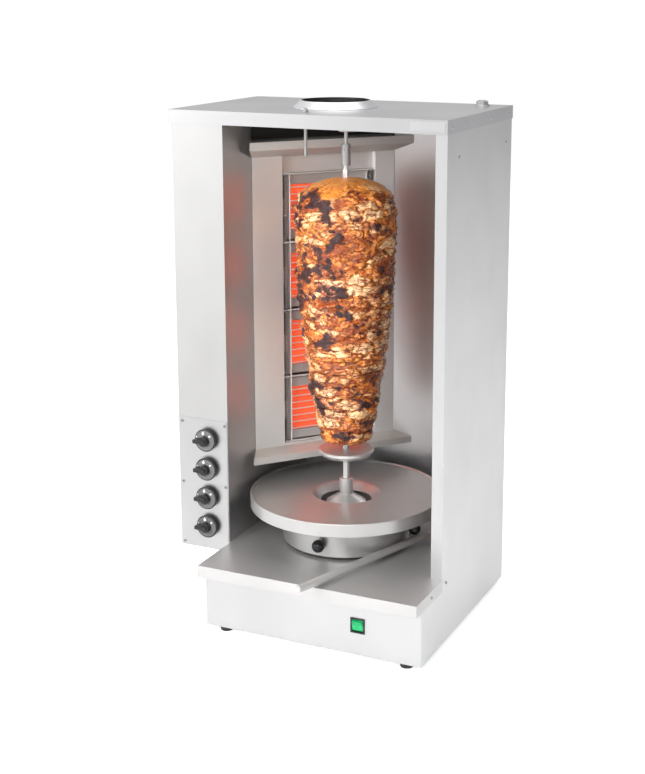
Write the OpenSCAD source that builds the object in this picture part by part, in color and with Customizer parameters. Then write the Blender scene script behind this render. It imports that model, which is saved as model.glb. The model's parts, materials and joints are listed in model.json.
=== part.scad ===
// Gas rotisserie oven with an upright spit: a control column and a slanting burner wall on the
// left, and a motor drum, fat pan and spit that swing together about a post in the right rear corner.
// Lengths are in millimetres. Places are measured from the front left corner of the top panel
// and from the floor, and at_origin() then moves every piece to the middle of the oven.

/* [Cabinet] */
// Width over the top panel
oven_w = 615; // [580:1:720]
// Depth over the top panel
oven_d = 392; // [380:1:460]
// Height of the top surface above the floor
oven_h = 1080; // [1050:1:1300]
// Thickness of every folded sheet
sheet = 1.5; // [1:0.1:2]
// Height of the folded edge of the top panel
top_fold = 28; // [20:1:40]
// How far the walls stand back from the front of the top panel
front_y = 5; // [4:0.5:20]
// Width of the folded front edge of the right wall
post_w = 24; // [18:1:40]

/* [Base and tray] */
// Height of the feet
foot_h = 12; // [8:1:30]
// Diameter of the feet
foot_d = 30; // [20:1:40]
// Height of the tray surface
tray_z = 154; // [140:1:200]
// How far the base front stands out from the top panel
base_out = 104; // [60:1:140]
// How far the tray reaches over the base front
tray_over = 31; // [15:1:50]
// Height of the folded edge of the tray
tray_fold = 25.5; // [15:0.5:40]
// Gap between the column and the side of the base
base_gap = 3.4; // [2:0.1:6]

/* [Control column] */
// Width of the column
column_w = 119; // [110:1:150]
// How far the column stands in from the left end of the top panel
column_inset = 5.6; // [3:0.1:20]
// Height of the underside of the column
column_z = 132.5; // [100:0.5:140]
// Height of the plate behind the knobs
knob_plate_h = 290; // [270:1:340]
// Distance of the knobs from the inner edge of the column
knob_in = 49; // [45:1:60]
// Height of the lowest knob
knob_z = 185.5; // [175:0.5:200]
// Distance from knob to knob
knob_pitch = 64.6; // [56:0.1:70]
// Diameter of a knob
knob_d = 50; // [40:1:54]
// How far a knob pushes in
knob_push = 4; // [2:0.5:5]

/* [Burner wall] */
// Angle of the burner wall to the front of the oven
wall_angle = 50; // [46:0.5:54]
// How far back the burner wall starts
wall_y = 128; // [120:1:140]
// Height of the floor of the burner compartment
comp_z = 306; // [290:1:330]
// Width of the plain strip left of the burners
strip_l = 70; // [50:1:80]
// Width of the opening for the burners
window_w = 222; // [210:1:230]
// Height of the bottom of the opening
window_z = 330; // [326:1:345]
// Distance from burner to burner
burner_pitch = 151; // [140:1:156]
// Width of the glowing ceramic plate of a burner
ceramic_w = 178; // [150:1:185]
// Height of the glowing ceramic plate of a burner
ceramic_h = 100; // [80:1:110]
// How far the two deflectors stand out
deflector_out = 35; // [20:1:45]

/* [Swinging spit drive] */
// Distance of the spit axis from the column, across the oven
spit_from_column = 215.4; // [210:0.1:235]
// Place of the spit axis from front to back
spit_y = 139; // [130:1:145]
// Diameter of the swing post
post_d = 20; // [16:1:24]
// Outer radius of the motor drum
drum_r = 137; // [125:1:145]
// Height of the underside of the drum
drum_z = 161; // [158:0.5:170]
// Outer radius of the fat pan
pan_r = 207; // [190:1:209]
// Height of the rim of the fat pan
pan_z = 261; // [250:1:270]
// Height of the band round the fat pan
pan_band = 28; // [20:1:34]
// Diameter of the lever rod
lever_d = 16; // [12:1:18]
// Length of the lever from the swing post
lever_l = 562; // [520:1:620]
// Diameter of a ball knob on the drum
ball_d = 27; // [20:1:28]

/* [Spit and meat] */
// Side of the square skewer
skewer_a = 10; // [8:0.5:12]
// Radius of the plate under the meat
disc_r = 59.5; // [50:0.5:70]
// Height of the top of that plate
disc_z = 356; // [345:1:380]
// Height of the underside of the meat
meat_z = 375.5; // [370:0.5:420]
// Height of the meat
meat_h = 566.5; // [300:0.5:570]
// Largest radius of the meat
meat_r = 113; // [60:1:114]

/* [Fits] */
// Radial gap of a shaft that turns in its bearing
run_gap = 0.05; // [0.02:0.01:0.08]
// Gap between surfaces that pass each other
free_gap = 0.6; // [0.4:0.1:1]
// Radial gap of a screw in its hole
screw_gap = 0.3; // [0.2:0.1:0.5]

/* [Hidden] */
$fn = 64;

steel = [0.80, 0.80, 0.81];
steel_dark = [0.55, 0.55, 0.56];
black = [0.07, 0.07, 0.07];
brass = [0.78, 0.62, 0.30];

// Walls of the cabinet
wall_top = oven_h - sheet;
right_x = oven_w - sheet;
right_in = right_x - sheet;
rear_y = oven_d - sheet;
rear_in = rear_y - sheet;
post_x = right_x - post_w;
column_x = column_inset + column_w;
column_in = column_x - sheet;

// Base and tray
base_x = column_x + base_gap;
base_y = -base_out;
tray_x = base_x - sheet;
tray_y = base_y - tray_over;
tray_under = tray_z - sheet;
tray_hem = 10;
foot_inset = 38;
foot_bolt_r = 4;

// Control column
knob_x = column_x - knob_in;
plate_front = front_y - sheet;
plate_margin = 1.5;
plate_screw_in = 6;
plate_top = column_z + knob_plate_h;
stem_r = 4;
knob_back = plate_front - knob_push - free_gap;
knob_disc_h = 7;
knob_grip_h = 15;
stem_front = knob_back - knob_disc_h - 6;
valve_y = 22;
valve_w = 30;
valve_l = 45;
valve_h = 28;
valve_neck_r = 9;
valve_back = valve_y + valve_l;
pipe_r = 4;
manifold_r = 9;
manifold_y = valve_back + 14;
manifold_z = column_z + 28;
inlet_r = 10.5;
inlet_out = 20;

// Vents and cable gland in the rear
vent_rows = 8;
vent_pitch = 14;
vent_l = 60;
vent_h = 4;
gland_r = 8;

// Burner wall: along it runs s, measured from the column, and out of it p, towards the meat
wall_x = column_x + sheet * sin(wall_angle);
wall_l = (rear_in - wall_y - sheet * cos(wall_angle)) / sin(wall_angle);
wall_front_l = (rear_in - wall_y) / sin(wall_angle);
window_s = strip_l;
window_e = strip_l + window_w;
window_mid = (window_s + window_e) / 2;
window_deep = 14;
header_h = 38;
burners = 4;
burner_h = 140;
window_top = window_z + burners * burner_pitch + header_h;
burner_y = 12;
burner_deep = 38;
burner_side = 9;
ceramic_t = 12;
ceramic_gap = 0.3;
guard_y = 6;
wire_r = 1.1;
guard_r = 2;
wires = 7;
wire_pitch = 14.8;
lip_h = 17.5;
upper_z = window_top;
upper_rise = 18;
lower_drop = 10;
lower_z = window_z - 4;
deflector_flare = 19;
deflector_gap = 1;

// Flue and bolts on the top panel
flue_x = 290;
flue_y = 195;
flue_r = 71;
flue_base_r = 89;
flue_h = 15;
hanger_gap = 142;
hanger_r = 3.5;
hanger_low = oven_h - 90;
rivet_y = [29, 134, 245, 360];
rivet_z = oven_h - 15;
screw_r = 2;
head_r = 3.8;
head_h = 2;

// Switch
switch_w = 31;
switch_h = 32;
switch_x = 476.5;
switch_z = 75;
switch_rim = 2;
switch_frame = 3;
rocker_r = 12.4;
rocker_tilt = 9;
trunnion_r = 1.5;

// Swinging spit drive
spit_x = column_x + spit_from_column;
pivot_x = 562;
pivot_y = 346;
post_r = post_d / 2;
tube_r = post_r + 5;
bush_h = 30;
post_foot_r = 20;
post_foot_h = 4;
tube_z = tray_z + post_foot_h + free_gap;
arm_z = oven_h - 44;
arm_t = 8;
arm_w = 32;
tube_top = arm_z + arm_t + 4;
arm_len = norm([pivot_x - spit_x, pivot_y - spit_y]);
arm_angle = atan2(spit_y - pivot_y, spit_x - pivot_x);
lever_r = lever_d / 2;
lever_z = drum_z + 7.5;
lever_angle = arm_angle + asin((drum_r + lever_r) / arm_len);
lever_tip = [pivot_x + lever_l * cos(lever_angle), pivot_y + lever_l * sin(lever_angle)];
lever_edge = 1.5;
pin_r = 4;
pin_low = oven_h - 93.5;

// Drum, from the tray up
drum_plate_t = 3;
drum_ring_h = 38;
cup_z = drum_z + 45;
cup_r = 66;
cup_neck_r = 18;
cup_lip = 6;
lid_z = pan_z - pan_band;
pan_floor = pan_z - 3;
pan_under = pan_floor - sheet;
funnel_r = 76;
funnel_hole_r = 54.5;
funnel_drop = 16;
ball_r = ball_d / 2;
ball_z = drum_z + 27;
ball_out = 15;
ball_angles = [-88, 9, 92, 189];
ball_stem_r = 3;
gear_l = 90;
gear_w = 70;
gear_h = 38;
motor_r = 18;
motor_l = 56;

// Hub and spit
shaft_r = 8;
hub_r = 14.35;
hub_top = pan_z + 28;
skirt_r = 43;
skirt_z = lid_z + 3;
skirt_h = 18;
socket_z = hub_top - 30;
sleeve_r = 10;
sleeve_z = oven_h - 114;
sleeve_h = 44;
journal_r = 4.95;
journal_z = sleeve_z - 8;
journal_top = sleeve_z + 18;
skewer_hole = skewer_a / sqrt(2) + 0.08;
disc_t = 14;

// Front of the lever and back of the gas inlet give the middle of the whole oven
oven_front = lever_tip[1] - lever_r * abs(cos(lever_angle));
oven_back = rear_y + inlet_out;
mid_y = (oven_front + oven_back) / 2;

module at_origin() {
    translate([-oven_w / 2, -mid_y, 0]) children();
}

module on_wall() {
    at_origin() translate([wall_x, wall_y, 0]) rotate([0, 0, wall_angle]) children();
}

module at_spit() {
    at_origin() translate([spit_x, spit_y, 0]) children();
}

module at_pivot() {
    at_origin() translate([pivot_x, pivot_y, 0]) children();
}

module block(low, high) {
    translate(low) cube(high - low);
}

module rod(from, to, r) {
    v = to - from;
    translate(from) rotate([0, acos(v[2] / norm(v)), atan2(v[1], v[0])]) cylinder(r = r, h = norm(v));
}

// Straight lengths of pipe through a list of points, with a ball elbow at each turn
module bent_rod(points, r) {
    for (i = [1 : len(points) - 1]) rod(points[i - 1], points[i], r);
    for (i = [1 : len(points) - 2]) translate(points[i]) sphere(r = r * 1.3);
}

// Pan head screw along +Z, with the underside of its head at z = 0
module screw(length) {
    translate([0, 0, -length]) cylinder(r = screw_r, h = length, $fn = 24);
    difference() {
        cylinder(r1 = head_r, r2 = head_r - 0.8, h = head_h, $fn = 32);
        block([-head_r, -0.4, head_h - 0.8], [head_r, 0.4, head_h + 1]);
    }
}

module base_shell() {
    color(steel) at_origin() {
        difference() {
            block([base_x, base_y, foot_h], [right_in, base_y + sheet, tray_under]);
            block([switch_x - switch_w / 2 + switch_rim, base_y - 1, switch_z - switch_h / 2 + switch_rim],
                [switch_x + switch_w / 2 - switch_rim, base_y + sheet + 1, switch_z + switch_h / 2 - switch_rim]);
        }
        block([base_x, base_y, foot_h], [base_x + sheet, rear_in, tray_under]);
        difference() {
            block([base_x, rear_in, foot_h], [right_in, rear_y, column_z]);
            gland_place() cylinder(r = gland_r + screw_gap, h = 40, center = true);
        }
    }
}

foot_places = [for (x = [base_x + foot_inset, right_x - foot_inset], y = [base_y + foot_inset / 2, rear_y - foot_inset])
    [x, y]];

module base_floor() {
    color(steel_dark) at_origin() difference() {
        block([base_x + sheet, base_y + sheet, foot_h], [right_in, rear_in, foot_h + sheet]);
        for (p = foot_places) translate([p[0], p[1], 0]) cylinder(r = foot_bolt_r + screw_gap, h = foot_h * 2);
    }
}

module feet() {
    color(black) at_origin() for (p = foot_places) translate([p[0], p[1], 0]) {
        cylinder(d1 = foot_d - 4, d2 = foot_d, h = foot_h);
        cylinder(r = foot_bolt_r, h = foot_h + 10);
    }
}

module work_tray() {
    low = tray_z - tray_fold;
    color(steel) at_origin() {
        block([tray_x, tray_y, tray_under], [oven_w, front_y, tray_z]);
        block([column_x, front_y, tray_under], [right_in, rear_in, tray_z]);
        block([tray_x, tray_y, low], [oven_w, tray_y + sheet, tray_z]);
        block([tray_x, tray_y, low], [oven_w, tray_y + tray_hem, low + sheet]);
        block([tray_x, tray_y, low], [tray_x + sheet, front_y, tray_z]);
        difference() {
            block([right_x, tray_y, low], [oven_w, front_y, tray_z]);
            for (s = side_screws) right_hole(s);
        }
    }
}

// Places of the screws in the right wall, as [y, z]; the last one also holds the fold of the tray
side_screws = [[67, oven_h - 76], [350, oven_h - 74], [29, tray_z - 15], [-55, tray_z - 14]];
low_screw_z = column_z + 20;
left_screws = [[40, oven_h - 76], [350, oven_h - 76], [40, low_screw_z], [350, low_screw_z]];

module right_hole(s) {
    translate([right_in - 1, s[0], s[1]]) rotate([0, 90, 0]) cylinder(r = screw_r + screw_gap, h = 9, $fn = 24);
}

module right_side_panel() {
    color(steel) at_origin() difference() {
        union() {
            translate([right_in, 0, 0]) rotate([90, 0, 90]) linear_extrude(sheet) polygon([
                [base_y, foot_h], [rear_y, foot_h], [rear_y, wall_top],
                [front_y, wall_top], [front_y, tray_under], [base_y, tray_under]]);
            block([post_x, front_y, tray_z], [right_in, front_y + sheet, wall_top]);
        }
        for (s = side_screws) right_hole(s);
        for (y = rivet_y) right_hole([y, rivet_z]);
    }
}

module right_liner() {
    color(steel_dark) at_origin()
        block([post_x, front_y + sheet, tray_z], [post_x + sheet, rear_in, wall_top]);
}

module left_side_panel() {
    color(steel) at_origin() {
        difference() {
            block([column_inset, front_y + sheet, column_z], [column_inset + sheet, rear_y, wall_top]);
            for (s = left_screws) translate([column_inset - 1, s[0], s[1]]) rotate([0, 90, 0])
                cylinder(r = screw_r + screw_gap, h = 5, $fn = 24);
        }
        block([column_inset, front_y + sheet, column_z], [base_x, rear_in, column_z + sheet]);
    }
}

// The front of the column turns back into its inner wall, which ends in a flange behind the burner wall
module column_shell() {
    flange = 15;
    color(steel) {
        at_origin() difference() {
            union() {
                block([column_inset, front_y, column_z], [column_x, front_y + sheet, wall_top]);
                block([column_in, front_y, column_z + sheet], [column_x, wall_y + 1.2 * sheet, wall_top]);
            }
            block([knob_x - valve_w, front_y - 1, knob_z - 20],
                [knob_x + valve_w, front_y + sheet + 1, knob_z + 3 * knob_pitch + 20]);
            for (p = plate_screws) translate([p[0], front_y - 1, p[1]]) rotate([-90, 0, 0])
                cylinder(r = screw_r + screw_gap, h = 5, $fn = 24);
        }
        on_wall() block([-sheet / 5, sheet, comp_z], [flange, 2 * sheet, wall_top - sheet]);
    }
}

// Left wall of the space round the pan, folded over at the top to floor the burner compartment
module lower_liner() {
    left = column_in - sheet;
    lap = 18;
    wall_end = [wall_x + wall_front_l * cos(wall_angle), rear_in];
    color(steel_dark) at_origin() {
        block([left, wall_y - lap, column_z + sheet], [column_in, rear_in, comp_z]);
        translate([0, 0, comp_z - sheet]) linear_extrude(sheet) polygon([
            [left, wall_y + 2 * sheet], [wall_x, wall_y + 2 * sheet], wall_end, [left, rear_in]]);
    }
}

module rear_panel() {
    vent_x = column_inset + 20;
    color(steel) at_origin() difference() {
        block([column_inset + sheet, rear_in, column_z], [right_in, rear_y, wall_top]);
        for (z = [comp_z + 40, oven_h - 260], i = [0 : vent_rows - 1], j = [0, 1])
            block([vent_x + j * (vent_l + 20), rear_in - 1, z + i * vent_pitch],
                [vent_x + j * (vent_l + 20) + vent_l, rear_y + 1, z + i * vent_pitch + vent_h]);
        translate([knob_x, rear_y, manifold_z]) rotate([90, 0, 0])
            cylinder(r = inlet_r + screw_gap, h = 20, center = true);
    }
}

module top_panel() {
    low = oven_h - top_fold;
    color(steel) at_origin() difference() {
        block([0, 0, low], [oven_w, oven_d, oven_h]);
        block([sheet, sheet, low - 1], [right_x, rear_y, wall_top]);
        translate([flue_x, flue_y, low]) cylinder(r = flue_r, h = top_fold * 2);
        for (s = [-1, 1]) translate([flue_x, flue_y + s * hanger_gap, low])
            cylinder(r = hanger_r + screw_gap, h = top_fold * 2);
        translate([pivot_x, pivot_y, low]) cylinder(r = post_r + screw_gap, h = top_fold * 2);
        for (y = rivet_y) translate([-1, y, rivet_z]) rotate([0, 90, 0])
            cylinder(r = screw_r + screw_gap, h = oven_w + 2, $fn = 24);
    }
}

// Spun ring round the flue: an upright collar and a cone down to the top panel
module flue_collar() {
    color(steel_dark) at_origin() translate([flue_x, flue_y, oven_h]) rotate_extrude($fn = 96) polygon([
        [flue_r, 0], [flue_r, flue_h], [flue_r + 2.5, flue_h], [flue_base_r, 1], [flue_base_r, 0],
        [flue_base_r - 3, 0], [flue_r + sheet, flue_h - 2.5], [flue_r + sheet, 0]]);
}

module badge_plate() {
    color([0.9, 0.9, 0.9]) at_origin()
        block([oven_w - 77, -0.8, oven_h - 23], [oven_w - 5, 0, oven_h - 5]);
}

module burner_wall() {
    color(steel) on_wall() {
        difference() {
            block([0, 0, comp_z], [wall_l, sheet, wall_top]);
            block([window_s, -1, window_z], [window_e, sheet + 1, window_top]);
        }
        difference() {
            block([window_s - sheet, sheet, window_z - sheet], [window_e + sheet, window_deep, window_top + sheet]);
            block([window_s, 0, window_z], [window_e, window_deep + 1, window_top]);
        }
        block([window_s, window_deep - sheet, window_top - header_h], [window_e, window_deep, window_top]);
    }
}

// A deflector is one folded strip; its right end follows the rear wall and its left end flares out
module deflector(profile) {
    out = deflector_out + 1;
    reach = out / tan(wall_angle);
    intersection() {
        translate([-60, 0, 0]) rotate([90, 0, 90]) linear_extrude(wall_l + 160) polygon(profile);
        linear_extrude(oven_h) polygon([
            [0, 1], [-deflector_flare, -out], [wall_front_l + reach - deflector_gap, -out],
            [wall_front_l - deflector_gap - 1, 1]]);
    }
}

module upper_deflector() {
    flange = 26;
    lip = -deflector_out;
    color(steel) on_wall() deflector([
        [0, upper_z + flange], [0, upper_z], [lip, upper_z + upper_rise], [lip, upper_z + upper_rise + lip_h],
        [lip + sheet, upper_z + upper_rise + lip_h], [lip + sheet, upper_z + upper_rise + sheet / 2],
        [-sheet, upper_z + 1.6 * sheet], [-sheet, upper_z + flange]]);
}

module lower_deflector() {
    lip = -deflector_out;
    low = lower_z - lower_drop;
    color(steel) on_wall() deflector([
        [0, comp_z + 1], [0, lower_z], [lip, low], [lip, low - lip_h + 3],
        [lip + sheet, low - lip_h + 3], [lip + sheet, low - sheet], [-sheet, lower_z - 1.2 * sheet],
        [-sheet, comp_z + 1]]);
}

function burner_mid(i) = window_z + (i + 0.5) * burner_pitch;

module burner_bodies() {
    half_w = ceramic_w / 2 + burner_side;
    color(steel_dark) on_wall() for (i = [0 : burners - 1]) translate([window_mid, burner_y, burner_mid(i)])
        difference() {
            union() {
                block([-half_w, 0, -burner_h / 2], [half_w, burner_deep, burner_h / 2]);
                block([-window_w / 2, 0, -20], [window_w / 2, 2, 20]);
                translate([-half_w, burner_deep / 2, 0]) rotate([0, -90, 0]) cylinder(r = 10, h = 22);
            }
            block([-ceramic_w / 2 - ceramic_gap, -1, -ceramic_h / 2 - ceramic_gap],
                [ceramic_w / 2 + ceramic_gap, ceramic_t + 1, ceramic_h / 2 + ceramic_gap]);
            block([-ceramic_w / 2 + 6, 0, -ceramic_h / 2 + 6],
                [ceramic_w / 2 - 6, burner_deep - 2, ceramic_h / 2 - 6]);
            translate([-half_w - 23, burner_deep / 2, 0]) rotate([0, 90, 0])
                cylinder(r = pipe_r + screw_gap, h = 40);
        }
}

module ceramic_plates() {
    color([0.95, 0.35, 0.15]) on_wall() for (i = [0 : burners - 1])
        translate([window_mid, burner_y, burner_mid(i)])
            block([-ceramic_w / 2, 1, -ceramic_h / 2], [ceramic_w / 2, ceramic_t + 1, ceramic_h / 2]);
}

// Wire guard: cross bars from side to side of the opening, uprights, and thin wires over the ceramic
module burner_guards() {
    half_w = ceramic_w / 2 + 3;
    top = window_z + burners * burner_pitch;
    color(steel_dark) on_wall() {
        for (i = [0 : burners]) {
            z = min(max(window_z + i * burner_pitch, window_z + guard_r), top - guard_r);
            rod([window_s, guard_y, z], [window_e, guard_y, z], guard_r);
        }
        for (x = [window_mid - half_w, window_mid + half_w])
            rod([x, guard_y, window_z + guard_r], [x, guard_y, top - guard_r], guard_r - 0.3);
        for (i = [0 : burners - 1], k = [0 : wires - 1]) {
            z = burner_mid(i) + (k - (wires - 1) / 2) * wire_pitch;
            rod([window_mid - half_w, guard_y, z], [window_mid + half_w, guard_y, z], wire_r);
        }
    }
}

plate_screws = [for (x = [column_inset + plate_screw_in + 3, column_x - plate_screw_in],
    z = [column_z + 8, column_z + knob_plate_h / 2, plate_top - 9]) [x, z]];
function knob_h(i) = knob_z + (4 - i) * knob_pitch;

module knob_panel() {
    color(steel) at_origin() difference() {
        block([column_inset + 0.5, plate_front, column_z], [column_x - plate_margin, front_y, plate_top]);
        for (i = [1 : 4]) translate([knob_x, plate_front - 1, knob_h(i)]) rotate([-90, 0, 0])
            cylinder(r = stem_r + free_gap, h = 5);
        for (p = plate_screws) translate([p[0], plate_front - 1, p[1]]) rotate([-90, 0, 0])
            cylinder(r = screw_r + screw_gap, h = 5, $fn = 24);
    }
}

module gas_valves() {
    color(brass) at_origin() for (i = [1 : 4]) translate([knob_x, 0, knob_h(i)]) difference() {
        union() {
            block([-valve_w / 2, valve_y, -valve_h / 2], [valve_w / 2, valve_back, valve_h / 2]);
            translate([0, front_y, 0]) rotate([-90, 0, 0]) cylinder(r = valve_neck_r, h = valve_y - front_y);
        }
        translate([0, front_y - 1, 0]) rotate([-90, 0, 0]) cylinder(r = stem_r + run_gap, h = valve_y + 20);
    }
}

// Upright pipe behind the valves, and the feed from the inlet in the rear panel
module gas_manifold() {
    low = [knob_x, manifold_y, manifold_z];
    color(brass) at_origin() {
        bent_rod([[knob_x, manifold_y, knob_h(1) + 18], low, [knob_x, rear_in - 12, manifold_z]], manifold_r);
        for (i = [1 : 4]) rod([knob_x, valve_back, knob_h(i)], [knob_x, manifold_y, knob_h(i)], manifold_r - 2);
    }
}

// Each pipe leaves its valve, runs back along the column, climbs, and turns into its burner
module gas_pipes() {
    pipe_x = column_in - 19;
    end_s = window_mid - ceramic_w / 2 - burner_side - 22;
    deep = burner_y + burner_deep / 2;
    end = [wall_x + end_s * cos(wall_angle) - deep * sin(wall_angle),
        wall_y + end_s * sin(wall_angle) + deep * cos(wall_angle)];
    color(brass) at_origin() for (i = [1 : 4]) {
        y = wall_y + i * 12;
        high = burner_mid(4 - i);
        along = [cos(wall_angle), sin(wall_angle)];
        bent_rod([[knob_x + valve_w / 2, 45, knob_h(i)], [pipe_x, 45, knob_h(i)], [pipe_x, y, knob_h(i)],
            [pipe_x, y, high], [end[0] - 10 * along[0], end[1] - 10 * along[1], high],
            [end[0] + 8 * along[0], end[1] + 8 * along[1], high]], pipe_r);
    }
}

module gas_inlet() {
    color(brass) at_origin() translate([knob_x, rear_in, manifold_z]) rotate([-90, 0, 0]) difference() {
        union() {
            translate([0, 0, -12]) cylinder(r = 15, h = 12, $fn = 6);
            cylinder(r = inlet_r - 1, h = 2 * sheet);
            translate([0, 0, sheet]) cylinder(r = inlet_r, h = inlet_out);
        }
        cylinder(r = 7.5, h = 60);
    }
}

module valve_stem(i) {
    color([0.7, 0.7, 0.7]) at_origin() translate([knob_x, stem_front, knob_h(i)]) rotate([-90, 0, 0])
        cylinder(r = stem_r, h = valve_y + 15 - stem_front);
}

// A knob turns with its stem and slides on it: a round disc, a middle boss and a grip bar
module knob(i) {
    grip_w = 11;
    grip_l = knob_d / 2 - 3;
    color(black) at_origin() translate([knob_x, knob_back, knob_h(i)]) rotate([90, 0, 0]) difference() {
        union() {
            cylinder(d1 = knob_d - 2, d2 = knob_d, h = knob_disc_h - 1);
            cylinder(d = knob_d - 3, h = knob_disc_h);
            cylinder(r = grip_w, h = knob_disc_h + knob_grip_h - 3);
            translate([-grip_l, -grip_w / 2, 0]) cube([grip_l, grip_w, knob_disc_h + knob_grip_h]);
            cylinder(r = grip_w / 2, h = knob_disc_h + knob_grip_h);
        }
        translate([0, 0, -1]) cylinder(r = stem_r + run_gap, h = knob_back - stem_front + knob_push + free_gap + 1);
    }
}

module cabinet_screws() {
    color([0.7, 0.7, 0.7]) at_origin() {
        for (p = plate_screws) translate([p[0], plate_front, p[1]]) rotate([90, 0, 0]) screw(8);
        for (s = side_screws) translate([s[0] < front_y ? oven_w : right_x, s[0], s[1]]) rotate([0, 90, 0]) screw(8);
        for (s = left_screws) translate([column_inset, s[0], s[1]]) rotate([0, -90, 0]) screw(8);
    }
}

module top_rivets() {
    color([0.7, 0.7, 0.7]) at_origin() for (y = rivet_y) {
        translate([oven_w, y, rivet_z]) rotate([0, 90, 0]) screw(4);
        translate([0, y, rivet_z]) rotate([0, -90, 0]) screw(4);
    }
}

// The front bolt is a long pointed pin inside the oven, and the rear one is short
module hanger_bolts() {
    nut_r = 6.5;
    nut_h = 5.5;
    point = 4;
    color(steel) at_origin() for (s = [-1, 1]) translate([flue_x, flue_y + s * hanger_gap, 0]) {
        low = s < 0 ? hanger_low : wall_top - 20;
        translate([0, 0, low + point]) cylinder(r = hanger_r, h = oven_h + 9 - low - point);
        translate([0, 0, low]) cylinder(r1 = hanger_r / 2, r2 = hanger_r, h = point);
        translate([0, 0, oven_h]) cylinder(r = nut_r, h = nut_h, $fn = 6);
        translate([0, 0, wall_top - nut_h]) cylinder(r = nut_r, h = nut_h, $fn = 6);
    }
}

module switch_housing() {
    half_w = switch_w / 2;
    half_h = switch_h / 2;
    deep = 24;
    color(black) at_origin() translate([switch_x, base_y, switch_z]) difference() {
        union() {
            block([-half_w, -switch_rim, -half_h], [half_w, 0, half_h]);
            block([-half_w + switch_rim, 0, -half_h + switch_rim], [half_w - switch_rim, deep, half_h - switch_rim]);
        }
        block([-half_w + switch_frame, -switch_rim - 1, -rocker_r - free_gap],
            [half_w - switch_frame, deep - 4, rocker_r + free_gap]);
        translate([0, rocker_r / 2, 0]) rotate([0, 90, 0])
            cylinder(r = trunnion_r + run_gap, h = switch_w - 2 * switch_frame + 2, center = true);
    }
}

// Rocker: a drum section with two flat faces that meet in a shallow valley, on two short trunnions
module switch_rocker() {
    half = switch_w / 2 - switch_frame - free_gap;
    face = -rocker_r / 2 - 1;
    color([0.1, 0.7, 0.3]) at_origin() translate([switch_x, base_y + rocker_r / 2, switch_z])
        rotate([rocker_tilt, 0, 0]) {
            translate([-half, 0, 0]) rotate([90, 0, 90]) linear_extrude(2 * half) intersection() {
                circle(r = rocker_r);
                polygon([[rocker_r / 3, -rocker_r], [face - 2.2, -rocker_r], [face, 0],
                    [face - 2.2, rocker_r], [rocker_r / 3, rocker_r]]);
            }
            rotate([0, 90, 0]) cylinder(r = trunnion_r, h = 2 * half + 2.4, center = true);
        }
}

module terminal_block() {
    color([0.85, 0.85, 0.8]) at_origin()
        block([right_in - 150, rear_in - 90, foot_h + sheet], [right_in - 90, rear_in - 60, foot_h + sheet + 25]);
}

module gland_place() {
    translate([right_in - 120, rear_y, foot_h + 48]) rotate([-90, 0, 0]) children();
}

module cable_gland() {
    color(black) at_origin() gland_place() difference() {
        union() {
            translate([0, 0, -sheet - 8]) cylinder(r = gland_r, h = sheet + 20);
            cylinder(r = 12, h = 5, $fn = 6);
            translate([0, 0, 7]) cylinder(r = 10.5, h = 7);
            translate([0, 0, -sheet - 5]) cylinder(r = 12, h = 5, $fn = 6);
        }
        cylinder(r = 4, h = 60, center = true);
    }
}

// The post stands on the tray and is bolted through the top panel
module pivot_post() {
    color([0.7, 0.7, 0.7]) at_pivot() {
        translate([0, 0, tray_z]) cylinder(r = post_foot_r, h = post_foot_h);
        translate([0, 0, tray_z]) cylinder(r = post_r, h = oven_h + 9 - tray_z);
    }
}

module pivot_nut() {
    color([0.8, 0.8, 0.8]) at_pivot() translate([0, 0, oven_h]) difference() {
        union() {
            cylinder(r1 = post_r + 6.5, r2 = post_r + 5, h = 3);
            translate([0, 0, 3]) cylinder(r = post_r + 3.5, h = 7, $fn = 6);
            translate([0, 0, 10]) cylinder(r1 = post_r + 1, r2 = post_r - 2, h = 2);
        }
        translate([0, 0, -1]) cylinder(r = post_r + run_gap, h = 10);
    }
}

// Tube round the post, with a bearing bush at each end
module swing_tube() {
    color(steel_dark) at_pivot() translate([0, 0, tube_z]) difference() {
        cylinder(r = tube_r, h = tube_top - tube_z);
        translate([0, 0, -1]) cylinder(r = post_r + run_gap, h = tube_top - tube_z + 2);
        translate([0, 0, bush_h]) cylinder(r = post_r + 2, h = tube_top - tube_z - 2 * bush_h);
    }
}

module at_arm() {
    at_pivot() rotate([0, 0, arm_angle]) children();
}

// Flat bar from the tube to the spit axis, with the pin that the spit hangs on
module upper_arm() {
    color(steel_dark) at_arm() {
        difference() {
            union() {
                translate([0, -arm_w / 2, arm_z]) cube([arm_len, arm_w, arm_t]);
                translate([arm_len, 0, arm_z]) cylinder(d = arm_w, h = arm_t);
            }
            translate([0, 0, arm_z - 1]) cylinder(r = tube_r, h = arm_t + 2);
        }
        translate([arm_len, 0, pin_low]) cylinder(r = pin_r, h = arm_z - pin_low);
    }
}

module lever_rod() {
    color(steel) at_pivot() difference() {
        rotate([0, 0, lever_angle]) translate([0, 0, lever_z]) rotate([0, 90, 0]) {
            cylinder(r = lever_r, h = lever_l - lever_edge);
            translate([0, 0, lever_l - lever_edge]) cylinder(r1 = lever_r, r2 = lever_r - lever_edge, h = lever_edge);
        }
        translate([0, 0, lever_z - lever_d]) cylinder(r = tube_r, h = 2 * lever_d);
    }
}

module at_balls() {
    at_spit() for (a = ball_angles) rotate([0, 0, a]) translate([0, 0, ball_z]) rotate([0, 90, 0]) children();
}

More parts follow.
